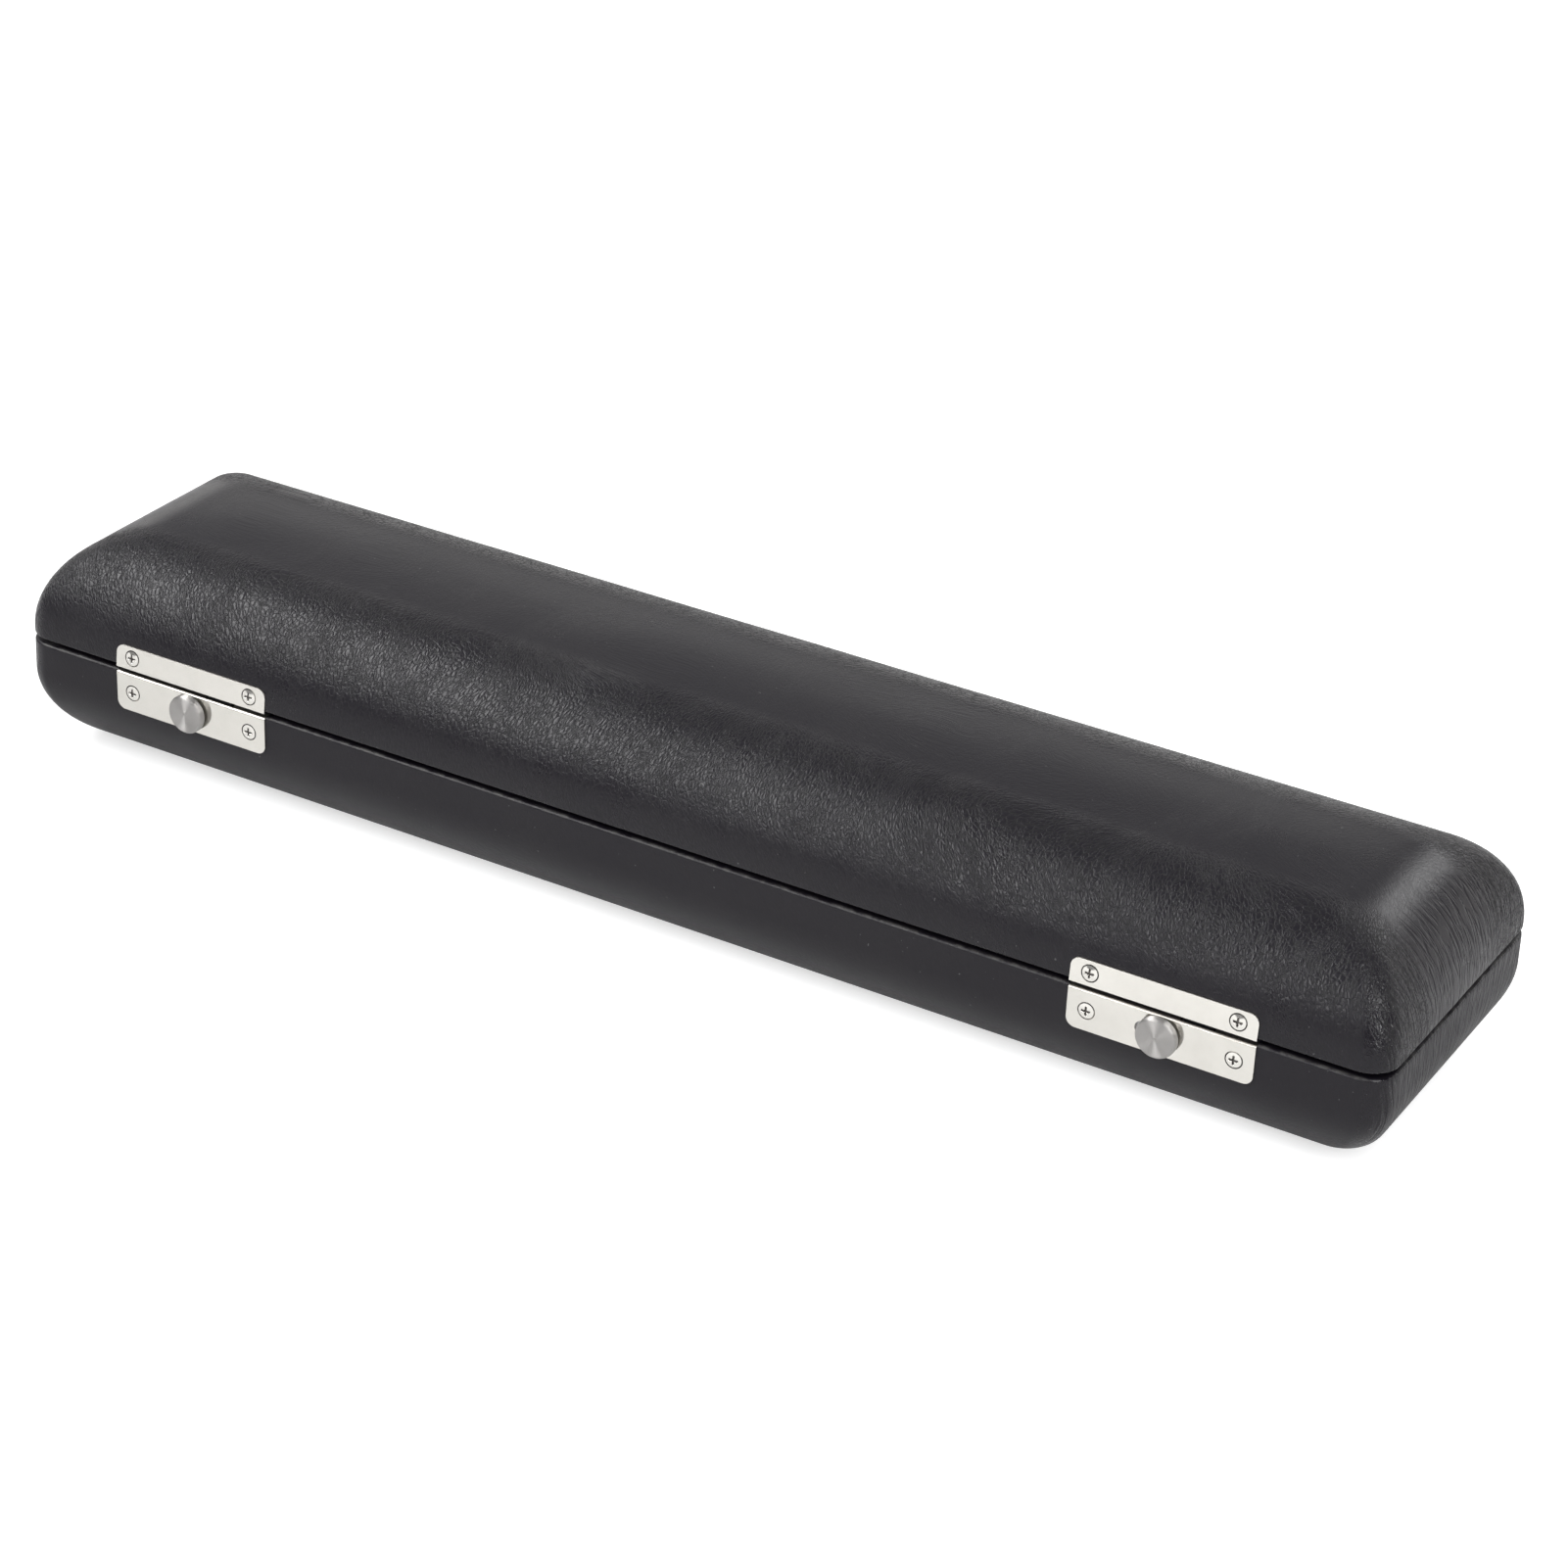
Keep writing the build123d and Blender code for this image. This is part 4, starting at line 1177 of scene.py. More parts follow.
def quarter_turn(steps: int) -> list[float]:
    """Angles over a quarter turn, in radians, both ends among them."""
    return [math.radians(90 * k / steps) for k in range(steps + 1)]


def full_turn(count: int) -> list[float]:
    """Angles once round, in radians, the end left out."""
    return [2 * math.pi * k / count for k in range(count)]


def roll_over(radius: float, steps: int) -> list[Span]:
    """How far a rolled edge is from its two sides: from (radius, 0) to (0, radius)."""
    return [(radius * (1 - math.sin(turn)), radius * (1 - math.cos(turn)))
            for turn in quarter_turn(steps)]


def held(value: float) -> float:
    """A value held between 0 and 1."""
    return min(max(value, 0.0), 1.0)


# ---------------------------------------------------------------- the leatherette halves
@dataclass
class CoveredHalf:
    """One half's leatherette, from the rim's inner edge over the roll and arcs to its flat.

    Insets are from the outside and depths from the rim. swell_from, swell_over, crown_from and
    crown_over say where those forms begin and over what length they reach their full size.
    """

    name: str
    body: Body
    finish: Finish
    node: str
    rim: float
    flat: float
    side_straight: float
    side_radius: float
    end_straight: float
    end_radius: float
    corner: float = 8.0
    corner_far: float = 6.0
    corner_power: float = 1.3
    half_length: float = 200.0
    half_width: float = 45.0
    rim_inner: float = 4.35
    rim_edge: Span = (0.3, 0.25)
    rim_insets: tuple[float, ...] = (3.0, 2.0, 1.3)
    turn_depth: float = 0.0
    turn_thickness: float = 0.35
    turn_roll: float = 0.5
    turn_steps: int = 4
    wood_out: float = 1.15
    wood_in: float = 4.35
    roll: float = 0.85
    roll_steps: int = 7
    band_least: float = 0.5
    band_steps: int = 4
    arc_steps: int = 34
    skin_thickness: float = 0.85
    swell: float = 0.05
    swell_pitch: Triple = (0.03, 0.06, 0.06)
    swell_from: float = 7.0
    swell_over: float = 8.0
    crown: float = 0.0
    crown_half: float = 27.0
    crown_from: float = 4.0
    crown_over: float = 40.0
    flat_insets: tuple[float, ...] = (1.5, 3.5, 6.0, 9.0, 12.0, 14.5, 16.5)
    flat_corner: float = 1.5
    flat_open: bool = False
    weave: Weave = field(default_factory=Weave)

    @property
    def up(self) -> int:
        """1 where the half rises from its rim, -1 where it hangs from it."""
        return 1 if self.flat > self.rim else -1

    @property
    def depth(self) -> float:
        """From the rim to the flat."""
        return abs(self.flat - self.rim)

    def ring(self, side: float, end: float, depth: float, under: float = 0.0) -> Ring:
        """An outline at a depth from the rim.

        Args:
            side: how far in from the long walls' planes.
            end: how far in from the end walls' planes.
            depth: from the rim.
            under: how far beneath the outside the surface lies.

        Returns:
            The outline, its corner tighter away from the rim and beneath the outside.
        """
        share = held(depth / self.depth)
        radius = self.corner + (self.corner_far - self.corner) * share**self.corner_power
        return Ring(self.half_length - end, self.half_width - side, radius / (1 + under / radius),
                    self.rim + self.up * depth)

    def even(self, inset: float, depth: float) -> Ring:
        """An outline set in by the same amount all round."""
        return self.ring(inset, inset, depth, inset)

    def outer(self) -> list[Ring]:
        """Lays rings over the outside.

        Returns:
            The rings, from the rim's inner edge to the start of the flat.
        """
        rings = self.turned_in()
        rings += [self.even(inset, 0.0) for inset in self.rim_insets]
        rings += [self.even(*step) for step in roll_over(self.roll, self.roll_steps)]
        straight = min(self.side_straight, self.end_straight)
        if straight > self.roll + self.band_least:
            levels = np.linspace(self.roll, straight, self.band_steps + 1)[1:]
            rings += [self.walls(float(level)) for level in levels]
        first = max(straight, self.roll)
        rings += [self.walls(first + (self.depth - first) * math.sin(turn))
                  for turn in quarter_turn(self.arc_steps)[1:]]
        return rings

    def turned_in(self) -> list[Ring]:
        """Lays rings where the leatherette turns in over the rim.

        Returns:
            The rings, from the inside up, and from further down where it is glued down inside.
        """
        if not self.turn_depth:
            run, drop = self.rim_edge
            return [self.even(self.rim_inner, drop), self.even(self.rim_inner - run, 0.0)]
        inside = self.rim_inner + self.turn_thickness
        return [self.even(inside, self.turn_depth)] + [
            self.even(inside - across, down)
            for down, across in roll_over(self.turn_roll, self.turn_steps)]

    def walls(self, depth: float, under: float = 0.0) -> Ring:
        """The outline where the arcs have run in.

        Args:
            depth: from the rim.
            under: how far beneath the outside the surface lies.

        Returns:
            The outline.
        """
        side = quarter(self.side_straight, self.side_radius - under, depth) + under
        end = quarter(self.end_straight, self.end_radius - under, depth) + under
        return self.ring(side, end, depth, under)

    def layer(self, under: float, first: float) -> list[Ring]:
        """Lays rings on a surface beneath the outside.

        Args:
            under: how far beneath the outside it lies.
            first: the depth that it starts at.

        Returns:
            The rings, from near the rim to the flat.
        """
        last = self.depth - under
        return [self.walls(first + (last - first) * math.sin(turn), under)
                for turn in quarter_turn(self.arc_steps // 2)]

    def inner(self) -> list[Ring]:
        """Lays rings over the leatherette's back.

        Returns:
            The rings, from the flat to the rim's inner edge.
        """
        rings = list(reversed(self.layer(self.skin_thickness, self.skin_thickness)))
        rings.append(self.even(self.rim_inner, self.skin_thickness))
        if self.turn_depth:
            rings.append(self.even(self.rim_inner, self.turn_depth))
        return rings

    def wood(self) -> bpy.types.Object:
        """Builds, cuts and installs the wooden shell that carries the leatherette.

        Returns:
            The shell.
        """
        outside = self.weave.rows(self.layer(self.wood_out, self.wood_out))
        inside = self.weave.rows(self.layer(self.wood_in, self.wood_out))
        bm = bmesh.new()
        stack(bm, list(reversed(outside)) + inside, self.weave)
        piece = carve(publish(bm, f"{self.body.value}_wood"), self.pockets())
        return install(piece, PLYWOOD, self.body.value, f"{self.body.value}_shell")

    def ripple(self, points: np.ndarray) -> np.ndarray:
        """Crowns the flat a little and lets the outside swell and sink away from the rim.

        Args:
            points: one ring's points.

        Returns:
            The moved points.
        """
        out = points.copy()
        for k, p in enumerate(points):
            fade = held((abs(p[2] - self.rim) - self.swell_from) / self.swell_over)
            if fade:
                pitch = self.swell_pitch
                lift = noise.noise(Vector((p[0] * pitch[0], p[1] * pitch[1], p[2] * pitch[2])))
                out[k, 1] += fade * self.swell * lift * math.copysign(1.0, p[1])
                across = max(1 - (p[1] / self.crown_half) ** 2, 0.0) ** 2
                along = held((self.half_length - self.crown_from - abs(p[0])) / self.crown_over)
                bow = self.crown * across * along**2 * (3 - 2 * along) * fade
                out[k, 2] += (fade * self.swell * lift + bow) * self.up
        return out

    def pockets(self) -> list[bpy.types.Object]:
        """Cutters for what is let into the leatherette."""
        return []

    def flat_rings(self) -> list[Ring]:
        """Lays rings over the flat.

        Returns:
            The rings, inwards.
        """
        edge = self.outer()[-1]
        return [Ring(edge.half_x - inset, edge.half_y - inset,
                     max(edge.radius - inset, self.flat_corner), edge.level)
                for inset in self.flat_insets]

    def build(self) -> bpy.types.Object:
        """Builds, cuts and installs the leatherette and its shell.

        Returns:
            The leatherette.
        """
        self.wood()
        outer = [self.ripple(row) for row in self.weave.rows(self.outer() + self.flat_rings())]
        inner = self.weave.rows(self.inner())
        bm = bmesh.new()
        if self.flat_open:
            skin(bm, outer + inner, closed=True)
        else:
            stack(bm, inner + outer, self.weave)
        piece = carve(publish(bm, f"{self.name}_uncut"), self.pockets())
        bm = bmesh.new()
        bm.from_mesh(piece.data)
        bpy.data.objects.remove(piece)
        return install(publish(bm, self.name), self.finish, self.body.value, self.node)


@dataclass
class Placing:
    """Where latches and hinges sit along the case, and how closely they are let in."""

    latch_x: float = 143.0
    hinge_x: float = 143.0
    plate_length: float = 49.0
    plate_corner: float = 2.5
    plate_back: float = 44.7
    leaf_length: float = 26.0
    leaf_height: float = 8.0
    leaf_corner: float = 1.5
    fit: float = 0.05


@dataclass
class BaseCover(CoveredHalf):
    """The base's leatherette, pocketed for the latch plates, their pans and the hinge leaves."""

    placing: Placing = field(default_factory=Placing)
    plate_top: float = 30.8
    plate_height: float = 10.95
    flange_drop: float = 0.85
    flange_in: float = 41.45
    pan_half: float = 17.05
    pan_low: float = 20.6
    pan_in: float = 41.75
    panel_half_x: float = 174.35
    panel_half_y: float = 20.05
    panel_corner: float = 5.0
    panel_roll: float = 0.4
    panel_steps: int = 3
    panel_margin: float = 1.6

    def flat_rings(self) -> list[Ring]:
        """Lays rings over the flat to the panel's opening, and round its edge.

        Returns:
            The rings, inwards and up into the opening.
        """
        steps = [(self.panel_margin, self.flat), *roll_over(self.panel_roll, self.panel_steps),
                 (0.0, self.skin_thickness)]
        return [Ring(self.panel_half_x + out, self.panel_half_y + out, self.panel_corner + out,
                     level) for out, level in steps]

    def pockets(self) -> list[bpy.types.Object]:
        """Makes plate, flange and pan pockets in front and leaf pockets behind.

        Returns:
            The cutters. Those of one latch end at different planes, so that no faces coincide.
        """
        where = self.placing
        back, fit = where.plate_back - where.fit, where.fit
        plate, leaf = where.plate_length + 2 * fit, where.leaf_length + 2 * fit
        latch = ((plate, self.plate_top - self.plate_height - fit, back, where.plate_corner),
                 (plate, self.plate_top - self.flange_drop, self.flange_in, 0.0),
                 (2 * self.pan_half, self.pan_low, self.pan_in, 0.0))
        made = []
        for x in (-where.latch_x, where.latch_x):
            for k, (width, low, near, corner) in enumerate(latch):
                cutter = tablet(width, low, self.rim + PAST_RIM + k, (k - CLEAR, -near), corner)
                made.append(shifted(cutter, x))
        for x in (-where.hinge_x, where.hinge_x):
            cutter = tablet(leaf, self.rim - where.leaf_height - fit, self.rim + PAST_RIM,
                            (back, CLEAR), where.leaf_corner)
            made.append(shifted(cutter, x))
        return made


@dataclass
class LidCover(CoveredHalf):
    """The lid's leatherette, pocketed for the strike plates, keepers and hinge leaves."""

    placing: Placing = field(default_factory=Placing)
    plate_height: float = 6.4
    keeper_x: float = 9.0
    keeper_half: float = 4.05
    keeper_in: float = 43.05
    keeper_root: float = 5.05
    keeper_past: float = 1.5

    @property
    def lean(self) -> float:
        """Radians that the wall leans at the strike plate's middle."""
        return math.asin((self.plate_height / 2 - self.side_straight) / self.side_radius)

    def pockets(self) -> list[bpy.types.Object]:
        """Makes leaning plate pockets, keeper slots and leaning leaf pockets.

        Returns:
            The cutters.
        """
        where = self.placing
        back, fit = where.plate_back - where.fit, where.fit
        low = self.rim - PAST_RIM
        made = []
        for x in (-where.latch_x, where.latch_x):
            plate = tablet(where.plate_length + 2 * fit, low, self.rim + self.plate_height + fit,
                           (-CLEAR, -back), where.plate_corner, True)
            made.append(shifted(leaning(plate, -back, self.rim, self.lean), x))
            slot = tablet(2 * self.keeper_half, self.rim - self.keeper_past,
                          self.rim + self.keeper_root, (1 - CLEAR, -self.keeper_in))
            made.append(shifted(slot, x + self.keeper_x))
        for x in (-where.hinge_x, where.hinge_x):
            leaf = tablet(where.leaf_length + 2 * fit, low, self.rim + where.leaf_height + fit,
                          (back, CLEAR), where.leaf_corner, True)
            made.append(shifted(leaning(leaf, back, self.rim, -self.lean), x))
        return made


def shifted(piece: bpy.types.Object, x: float) -> bpy.types.Object:
    """Moves a piece's mesh along X, in millimetres."""
    piece.data.transform(Matrix.Translation((x * MM, 0, 0)))
    return piece


def leaning(piece: bpy.types.Object, y: float, z: float, angle: float) -> bpy.types.Object:
    """Leans a piece's mesh about a line along X.

    Args:
        piece: the piece.
        y: where the line runs, in millimetres.
        z: its level, in millimetres.
        angle: radians, positive where the top leans towards +Y.

    Returns:
        The same piece.
    """
    pivot = Vector((0, y, z)) * MM
    turn = Matrix.Translation(pivot) @ Matrix.Rotation(-angle, 4, "X") @ Matrix.Translation(-pivot)
    piece.data.transform(turn)
    return piece


@dataclass
class UndersidePanel:
    """The covered panel let into the underside, its edge rolled."""

    half_x: float = 174.1
    half_y: float = 19.8
    radius: float = 5.0
    thickness: float = 0.9
    roll: float = 0.4
    roll_steps: int = 4
    weave: Weave = field(default_factory=lambda: Weave(90, 16, 8))

    def build(self) -> bpy.types.Object:
        """Builds and installs the panel.

        Returns:
            The panel.
        """
        steps = [(self.thickness, 0.0), *roll_over(self.roll, self.roll_steps)]
        rings = [Ring(self.half_x - inset, self.half_y - inset, self.radius - inset, level)
                 for level, inset in steps]
        bm = bmesh.new()
        stack(bm, self.weave.rows(rings), self.weave)
        return install(publish(bm, "underside_panel"), PANEL_LEATHER, Body.BASE.value,
                       "bottom_panel")


# ---------------------------------------------------------------- the inside
@dataclass
class LipRail:
    """The cloth-covered board that stands around the base's rim, round at its top."""

    half_length: float = 200.0
    half_width: float = 45.0
    corner: float = 8.0
    outer_low: float = 4.6
    outer_high: float = 5.3
    inner: float = 6.8
    foot: float = 23.05
    rim: float = 31.0
    ease: Triple = (0.3, 0.2, 0.4)
    top: float = 35.15
    top_steps: int = 8
    weave: Weave = field(default_factory=lambda: Weave(120, 26, 12))

    def ring(self, inset: float, level: float) -> Ring:
        """The rail's outline at an inset and level."""
        radius = self.corner / (1 + inset / self.corner)
        return Ring(self.half_length - inset, self.half_width - inset, radius, level)

    def build(self) -> bpy.types.Object:
        """Builds and installs the rail. Its outside steps in where it passes the rim.

        Returns:
            The rail.
        """
        half = (self.inner - self.outer_high) / 2
        middle = self.outer_high + half
        below, inwards, above = self.ease
        steps = [(self.outer_low, self.foot), (self.outer_low, self.rim - below),
                 (self.outer_low + inwards, self.rim), (self.outer_high, self.rim + above)]
        for k in range(self.top_steps + 1):
            turn = math.pi * k / self.top_steps
            steps.append((middle - half * math.cos(turn), self.top - half + half * math.sin(turn)))
        steps += [(self.inner, self.rim), (self.inner, self.foot)]
        bm = bmesh.new()
        skin(bm, self.weave.rows([self.ring(*step) for step in steps]), closed=True)
        return install(publish(bm, "lip_cloth_rail"), LIP_CLOTH, Body.BASE.value, "rim_lip")


@dataclass(frozen=True)
class Well:
    """One hollow for a joint of the flute, in millimetres."""

    x: float
    y: float
    length: float
    width: float


@dataclass
class BasePlush:
    """The base's plush: a tray with three rounded wells."""

    wells: tuple[Well, ...] = (
        Well(0.0, -16.5, 350.0, 33.0),
        Well(-67.0, 19.0, 228.0, 28.0),
        Well(117.0, 19.0, 128.0, 28.0),
    )
    top: float = 28.0
    wall_steps: int = 3
    floor: float = 9.0
    floor_round: float = 8.0
    floor_steps: int = 10
    corner: float = 10.0
    edge_roll: float = 1.9
    edge_steps: int = 6
    tray_half_x: float = 192.95
    tray_half_y: float = 37.95
    tray_corner: float = 4.3
    tray_roll: float = 1.1
    tray_steps: int = 5
    thickness: float = 1.3
    sharp_over: float = 60.0
    weave: Weave = field(default_factory=lambda: Weave(70, 14, 10))

    def well_rows(self, well: Well) -> list[np.ndarray]:
        """Lays rings into a well.

        Args:
            well: the well.

        Returns:
            The rings' points, from the tray's top down to the well's floor.
        """
        steps = [(grow, self.top - down)
                 for grow, down in roll_over(self.edge_roll, self.edge_steps)]
        levels = np.linspace(self.top - self.edge_roll, self.floor + self.floor_round,
                             self.wall_steps + 1)
        steps += [(0.0, float(level)) for level in levels[1:]]
        steps += [(-inwards, self.floor + up)
                  for up, inwards in roll_over(self.floor_round, self.floor_steps)[1:]]
        rings = [Ring(well.length / 2 + grow, well.width / 2 + grow, self.corner + grow, level)
                 for grow, level in steps]
        return [row + np.array([well.x, well.y, 0.0]) for row in self.weave.rows(rings)]

    def build(self) -> bpy.types.Object:
        """Builds and installs the plush.

        Returns:
            The plush.
        """
        bm = bmesh.new()
        tray = [Ring(self.tray_half_x - inset, self.tray_half_y - inset, self.tray_corner,
                     self.top - down)
                for down, inset in roll_over(self.tray_roll, self.tray_steps)]
        loops = [skin(bm, self.weave.rows(tray), closed=False)[-1]]
        for well in self.wells:
            rows = skin(bm, self.well_rows(well), closed=False)
            cap(bm, rows[-1], self.weave)
            loops.append(rows[0])
        edges = [bm.edges.get(pair) for loop in loops for pair in zip(loop, loop[1:] + loop[:1])]
        bmesh.ops.triangle_fill(bm, edges=edges, use_beauty=True, use_dissolve=False)
        piece = publish(bm, "base_plush", self.sharp_over)
        turn_up(piece)
        thick = piece.modifiers.new("thick", "SOLIDIFY")
        thick.thickness = self.thickness * MM
        thick.offset = -1.0
        settle(piece)
        return install(piece, PLUSH, Body.BASE.value, "base_lining")


def turn_up(piece: bpy.types.Object) -> None:
    """Turns an open sheet over if most of it faces down."""
    if sum(p.normal.z * p.area for p in piece.data.polygons) < 0:
        piece.data.flip_normals()


@dataclass
class LidPlush:
    """The padded plush inside the lid, its lower edge rolled and its middle a little full."""

    rim: float = 32.3
    top: float = 59.9
    half_length: float = 200.0
    half_width: float = 45.0
    corner: float = 8.0
    corner_spread: float = 0.12
    corner_least: float = 2.0
    side_straight: float = 0.8
    side_radius: float = 26.8
    end_straight: float = 1.8
    end_radius: float = 25.8
    outer_inset: float = 4.75
    inner_inset: float = 9.35
    foot: float = 35.9
    foot_ease: float = 0.6
    roll: float = 2.2
    roll_steps: int = 6
    fullness: float = 0.9
    full_insets: tuple[float, ...] = (2.0, 4.5, 7.5, 10.5, 12.5)
    full_corner: float = 1.0
    steps: int = 16
    sharp_over: float = 70.0
    weave: Weave = field(default_factory=lambda: Weave(96, 20, 10))

    def ring(self, inset: float, level: float) -> Ring:
        """The outline of a surface beneath the lid's outside.

        Args:
            inset: how far beneath the outside it lies.
            level: its height.

        Returns:
            The outline.
        """
        depth = level - self.rim
        side = quarter(self.side_straight, self.side_radius - inset, depth) + inset
        end = quarter(self.end_straight, self.end_radius - inset, depth) + inset
        radius = self.corner / (1 + inset / self.corner) + self.corner_spread * depth
        return Ring(self.half_length - end, self.half_width - side,
                    max(radius, self.corner_least), level)

    def dome(self, inset: float, low: float) -> list[Ring]:
        """Lays rings up a dome, closer together towards its crown.

        Args:
            inset: how far beneath the outside it lies.
            low: its lowest level.

        Returns:
            The rings, upwards.
        """
        high = self.top - inset
        return [self.ring(inset, low + (high - low) * math.sin(turn))
                for turn in quarter_turn(self.steps)]

    def crown(self, edge: Ring) -> list[Ring]:
        """Lays rings over the middle, which hangs a little full.

        Args:
            edge: the dome's last ring.

        Returns:
            The rings, inwards.
        """
        widest = self.full_insets[-1]
        return [Ring(edge.half_x - d, edge.half_y - d, max(edge.radius - d, self.full_corner),
                     edge.level - self.fullness * (1 - (1 - d / widest) ** 2))
                for d in self.full_insets]

    def build(self) -> bpy.types.Object:
        """Builds and installs the plush.

        Returns:
            The plush.
        """
        rings = list(reversed(self.dome(self.outer_inset, self.foot + self.foot_ease)))
        rings.append(self.ring(self.outer_inset + self.foot_ease, self.foot))
        thick = self.inner_inset - self.outer_inset
        rings += [self.ring(self.outer_inset + thick - back, self.foot + up)
                  for back, up in roll_over(self.roll, self.roll_steps)]
        rings += self.dome(self.inner_inset, self.foot + self.roll)[1:]
        rings += self.crown(rings[-1])
        bm = bmesh.new()
        stack(bm, self.weave.rows(rings), self.weave)
        piece = publish(bm, "lid_plush", self.sharp_over)
        install(piece, PLUSH, Body.LID.value, "lid_lining", "lid_pad")
        return piece


# ---------------------------------------------------------------- latches and hinges
@dataclass
class Knob:
    """The turned thumb knob: a round-rimmed head with a turning dot, a neck and a rivet.

    dot gives radius and depth below the face, from its centre out, and hollow says how far the
    face dips towards it.
    """

    radius: float = 5.35
    height: float = 2.2
    plate_front: float = 45.5
    standoff: float = 0.5
    rim_round: float = 0.75
    rim_steps: int = 7
    back_round: float = 0.45
    back_steps: int = 4
    dot: tuple[Span, ...] = ((0.0, 0.16), (0.16, 0.15), (0.3, 0.05), (0.42, 0.04))
    hollow: float = 0.04
    face_radii: tuple[float, ...] = (1.2, 2.2, 3.2, 4.0)
    neck: float = 1.9
    neck_flare: Span = (0.4, 0.25)
    rivet: float = 1.2
    bolt_front: float = 44.55
    rivet_end: float = 43.35
    level: float = 25.55
    spans: int = 96
    sharp_over: float = 35.0

    def profile(self) -> list[Span]:
        """Draws the line that is turned.

        Returns:
            Radius and distance out from the middle plane, from the face's centre to the rivet.
        """
        under = self.plate_front + self.standoff
        face = under + self.height
        line = [(r, face - down) for r, down in self.dot]
        line += [(r, face - self.hollow + self.hollow * (r / self.radius) ** 2)
                 for r in (*self.face_radii, self.radius - self.rim_round)]
        line += [(self.radius - back, face - down)
                 for back, down in roll_over(self.rim_round, self.rim_steps)[1:]]
        line += [(self.radius - back, under + up)
                 for up, back in roll_over(self.back_round, self.back_steps)]
        wider, back = self.neck_flare
        line += [(self.neck + wider, under), (self.neck, under - back),
                 (self.neck, self.bolt_front), (self.rivet, self.bolt_front),
                 (self.rivet, self.rivet_end), (0.0, self.rivet_end)]
        return line

    def build(self, side: str, x: float) -> bpy.types.Object:
        """Turns and installs one knob.

        Args:
            side: left or right.
            x: where it stands, in millimetres.

        Returns:
            The knob.
        """
        bm = bmesh.new()
        line = self.profile()
        front, back = (bm.verts.new(Vector((x, -out, self.level)) * MM)
                       for _, out in (line[0], line[-1]))
        turns = full_turn(self.spans)
        rows = skin(bm, [[Vector((x + r * math.cos(turn), -out, self.level + r * math.sin(turn)))
                          for turn in turns] for r, out in line[1:-1]], closed=False)
        for i in range(self.spans):
            j = (i + 1) % self.spans
            bm.faces.new((front, rows[0][j], rows[0][i]))
            bm.faces.new((back, rows[-1][i], rows[-1][j]))
        piece = publish(bm, f"thumb_knob_{side}", self.sharp_over)
        return install(piece, KNOB_NICKEL, f"latch_bolt_{side}", f"latch_knob_{side}")


@dataclass
class CoilSpring:
    """The spring behind a bolt, wound at one length; the real one shortens as the bolt slides."""

    length: float = 6.4
    coil: float = 0.88
    wire: float = 0.15
    turns: float = 5.5
    y: float = -43.5
    level: float = 25.55
    steps: int = 220

    def loop(self, x: float, share: float) -> list[Vector]:
        """Lays a loop of points round the wire.

        Args:
            x: where the spring starts.
            share: how far along the spring the loop is, from 0 to 1.

        Returns:
            The points.
        """
        turn = 2 * math.pi * self.turns * share
        out = Vector((0, math.cos(turn), math.sin(turn)))
        run = self.length - 2 * self.wire
        centre = Vector((x + self.wire + run * share, self.y, self.level)) + self.coil * out
        side = Vector((1, 0, 0))
        return [centre + self.wire * (math.cos(roll) * out + math.sin(roll) * side)
                for roll in full_turn(TUBE_SIDES)]

    def build(self, side: str, x: float) -> bpy.types.Object:
        """Winds a spring and installs it between pan and bolt.

        Args:
            side: left or right.
            x: where it starts, in millimetres.

        Returns:
            The spring.
        """
        bm = bmesh.new()
        rows = skin(bm, [self.loop(x, k / self.steps) for k in range(self.steps + 1)],
                    closed=False)
        bm.faces.new(list(reversed(rows[0])))
        bm.faces.new(rows[-1])
        piece = dress(publish(bm, f"coil_spring_{side}"), STEEL)
        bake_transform(piece)
        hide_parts(f"latch_spring_{side}")
        report(piece, f"latch_spring_{side}")
        return piece


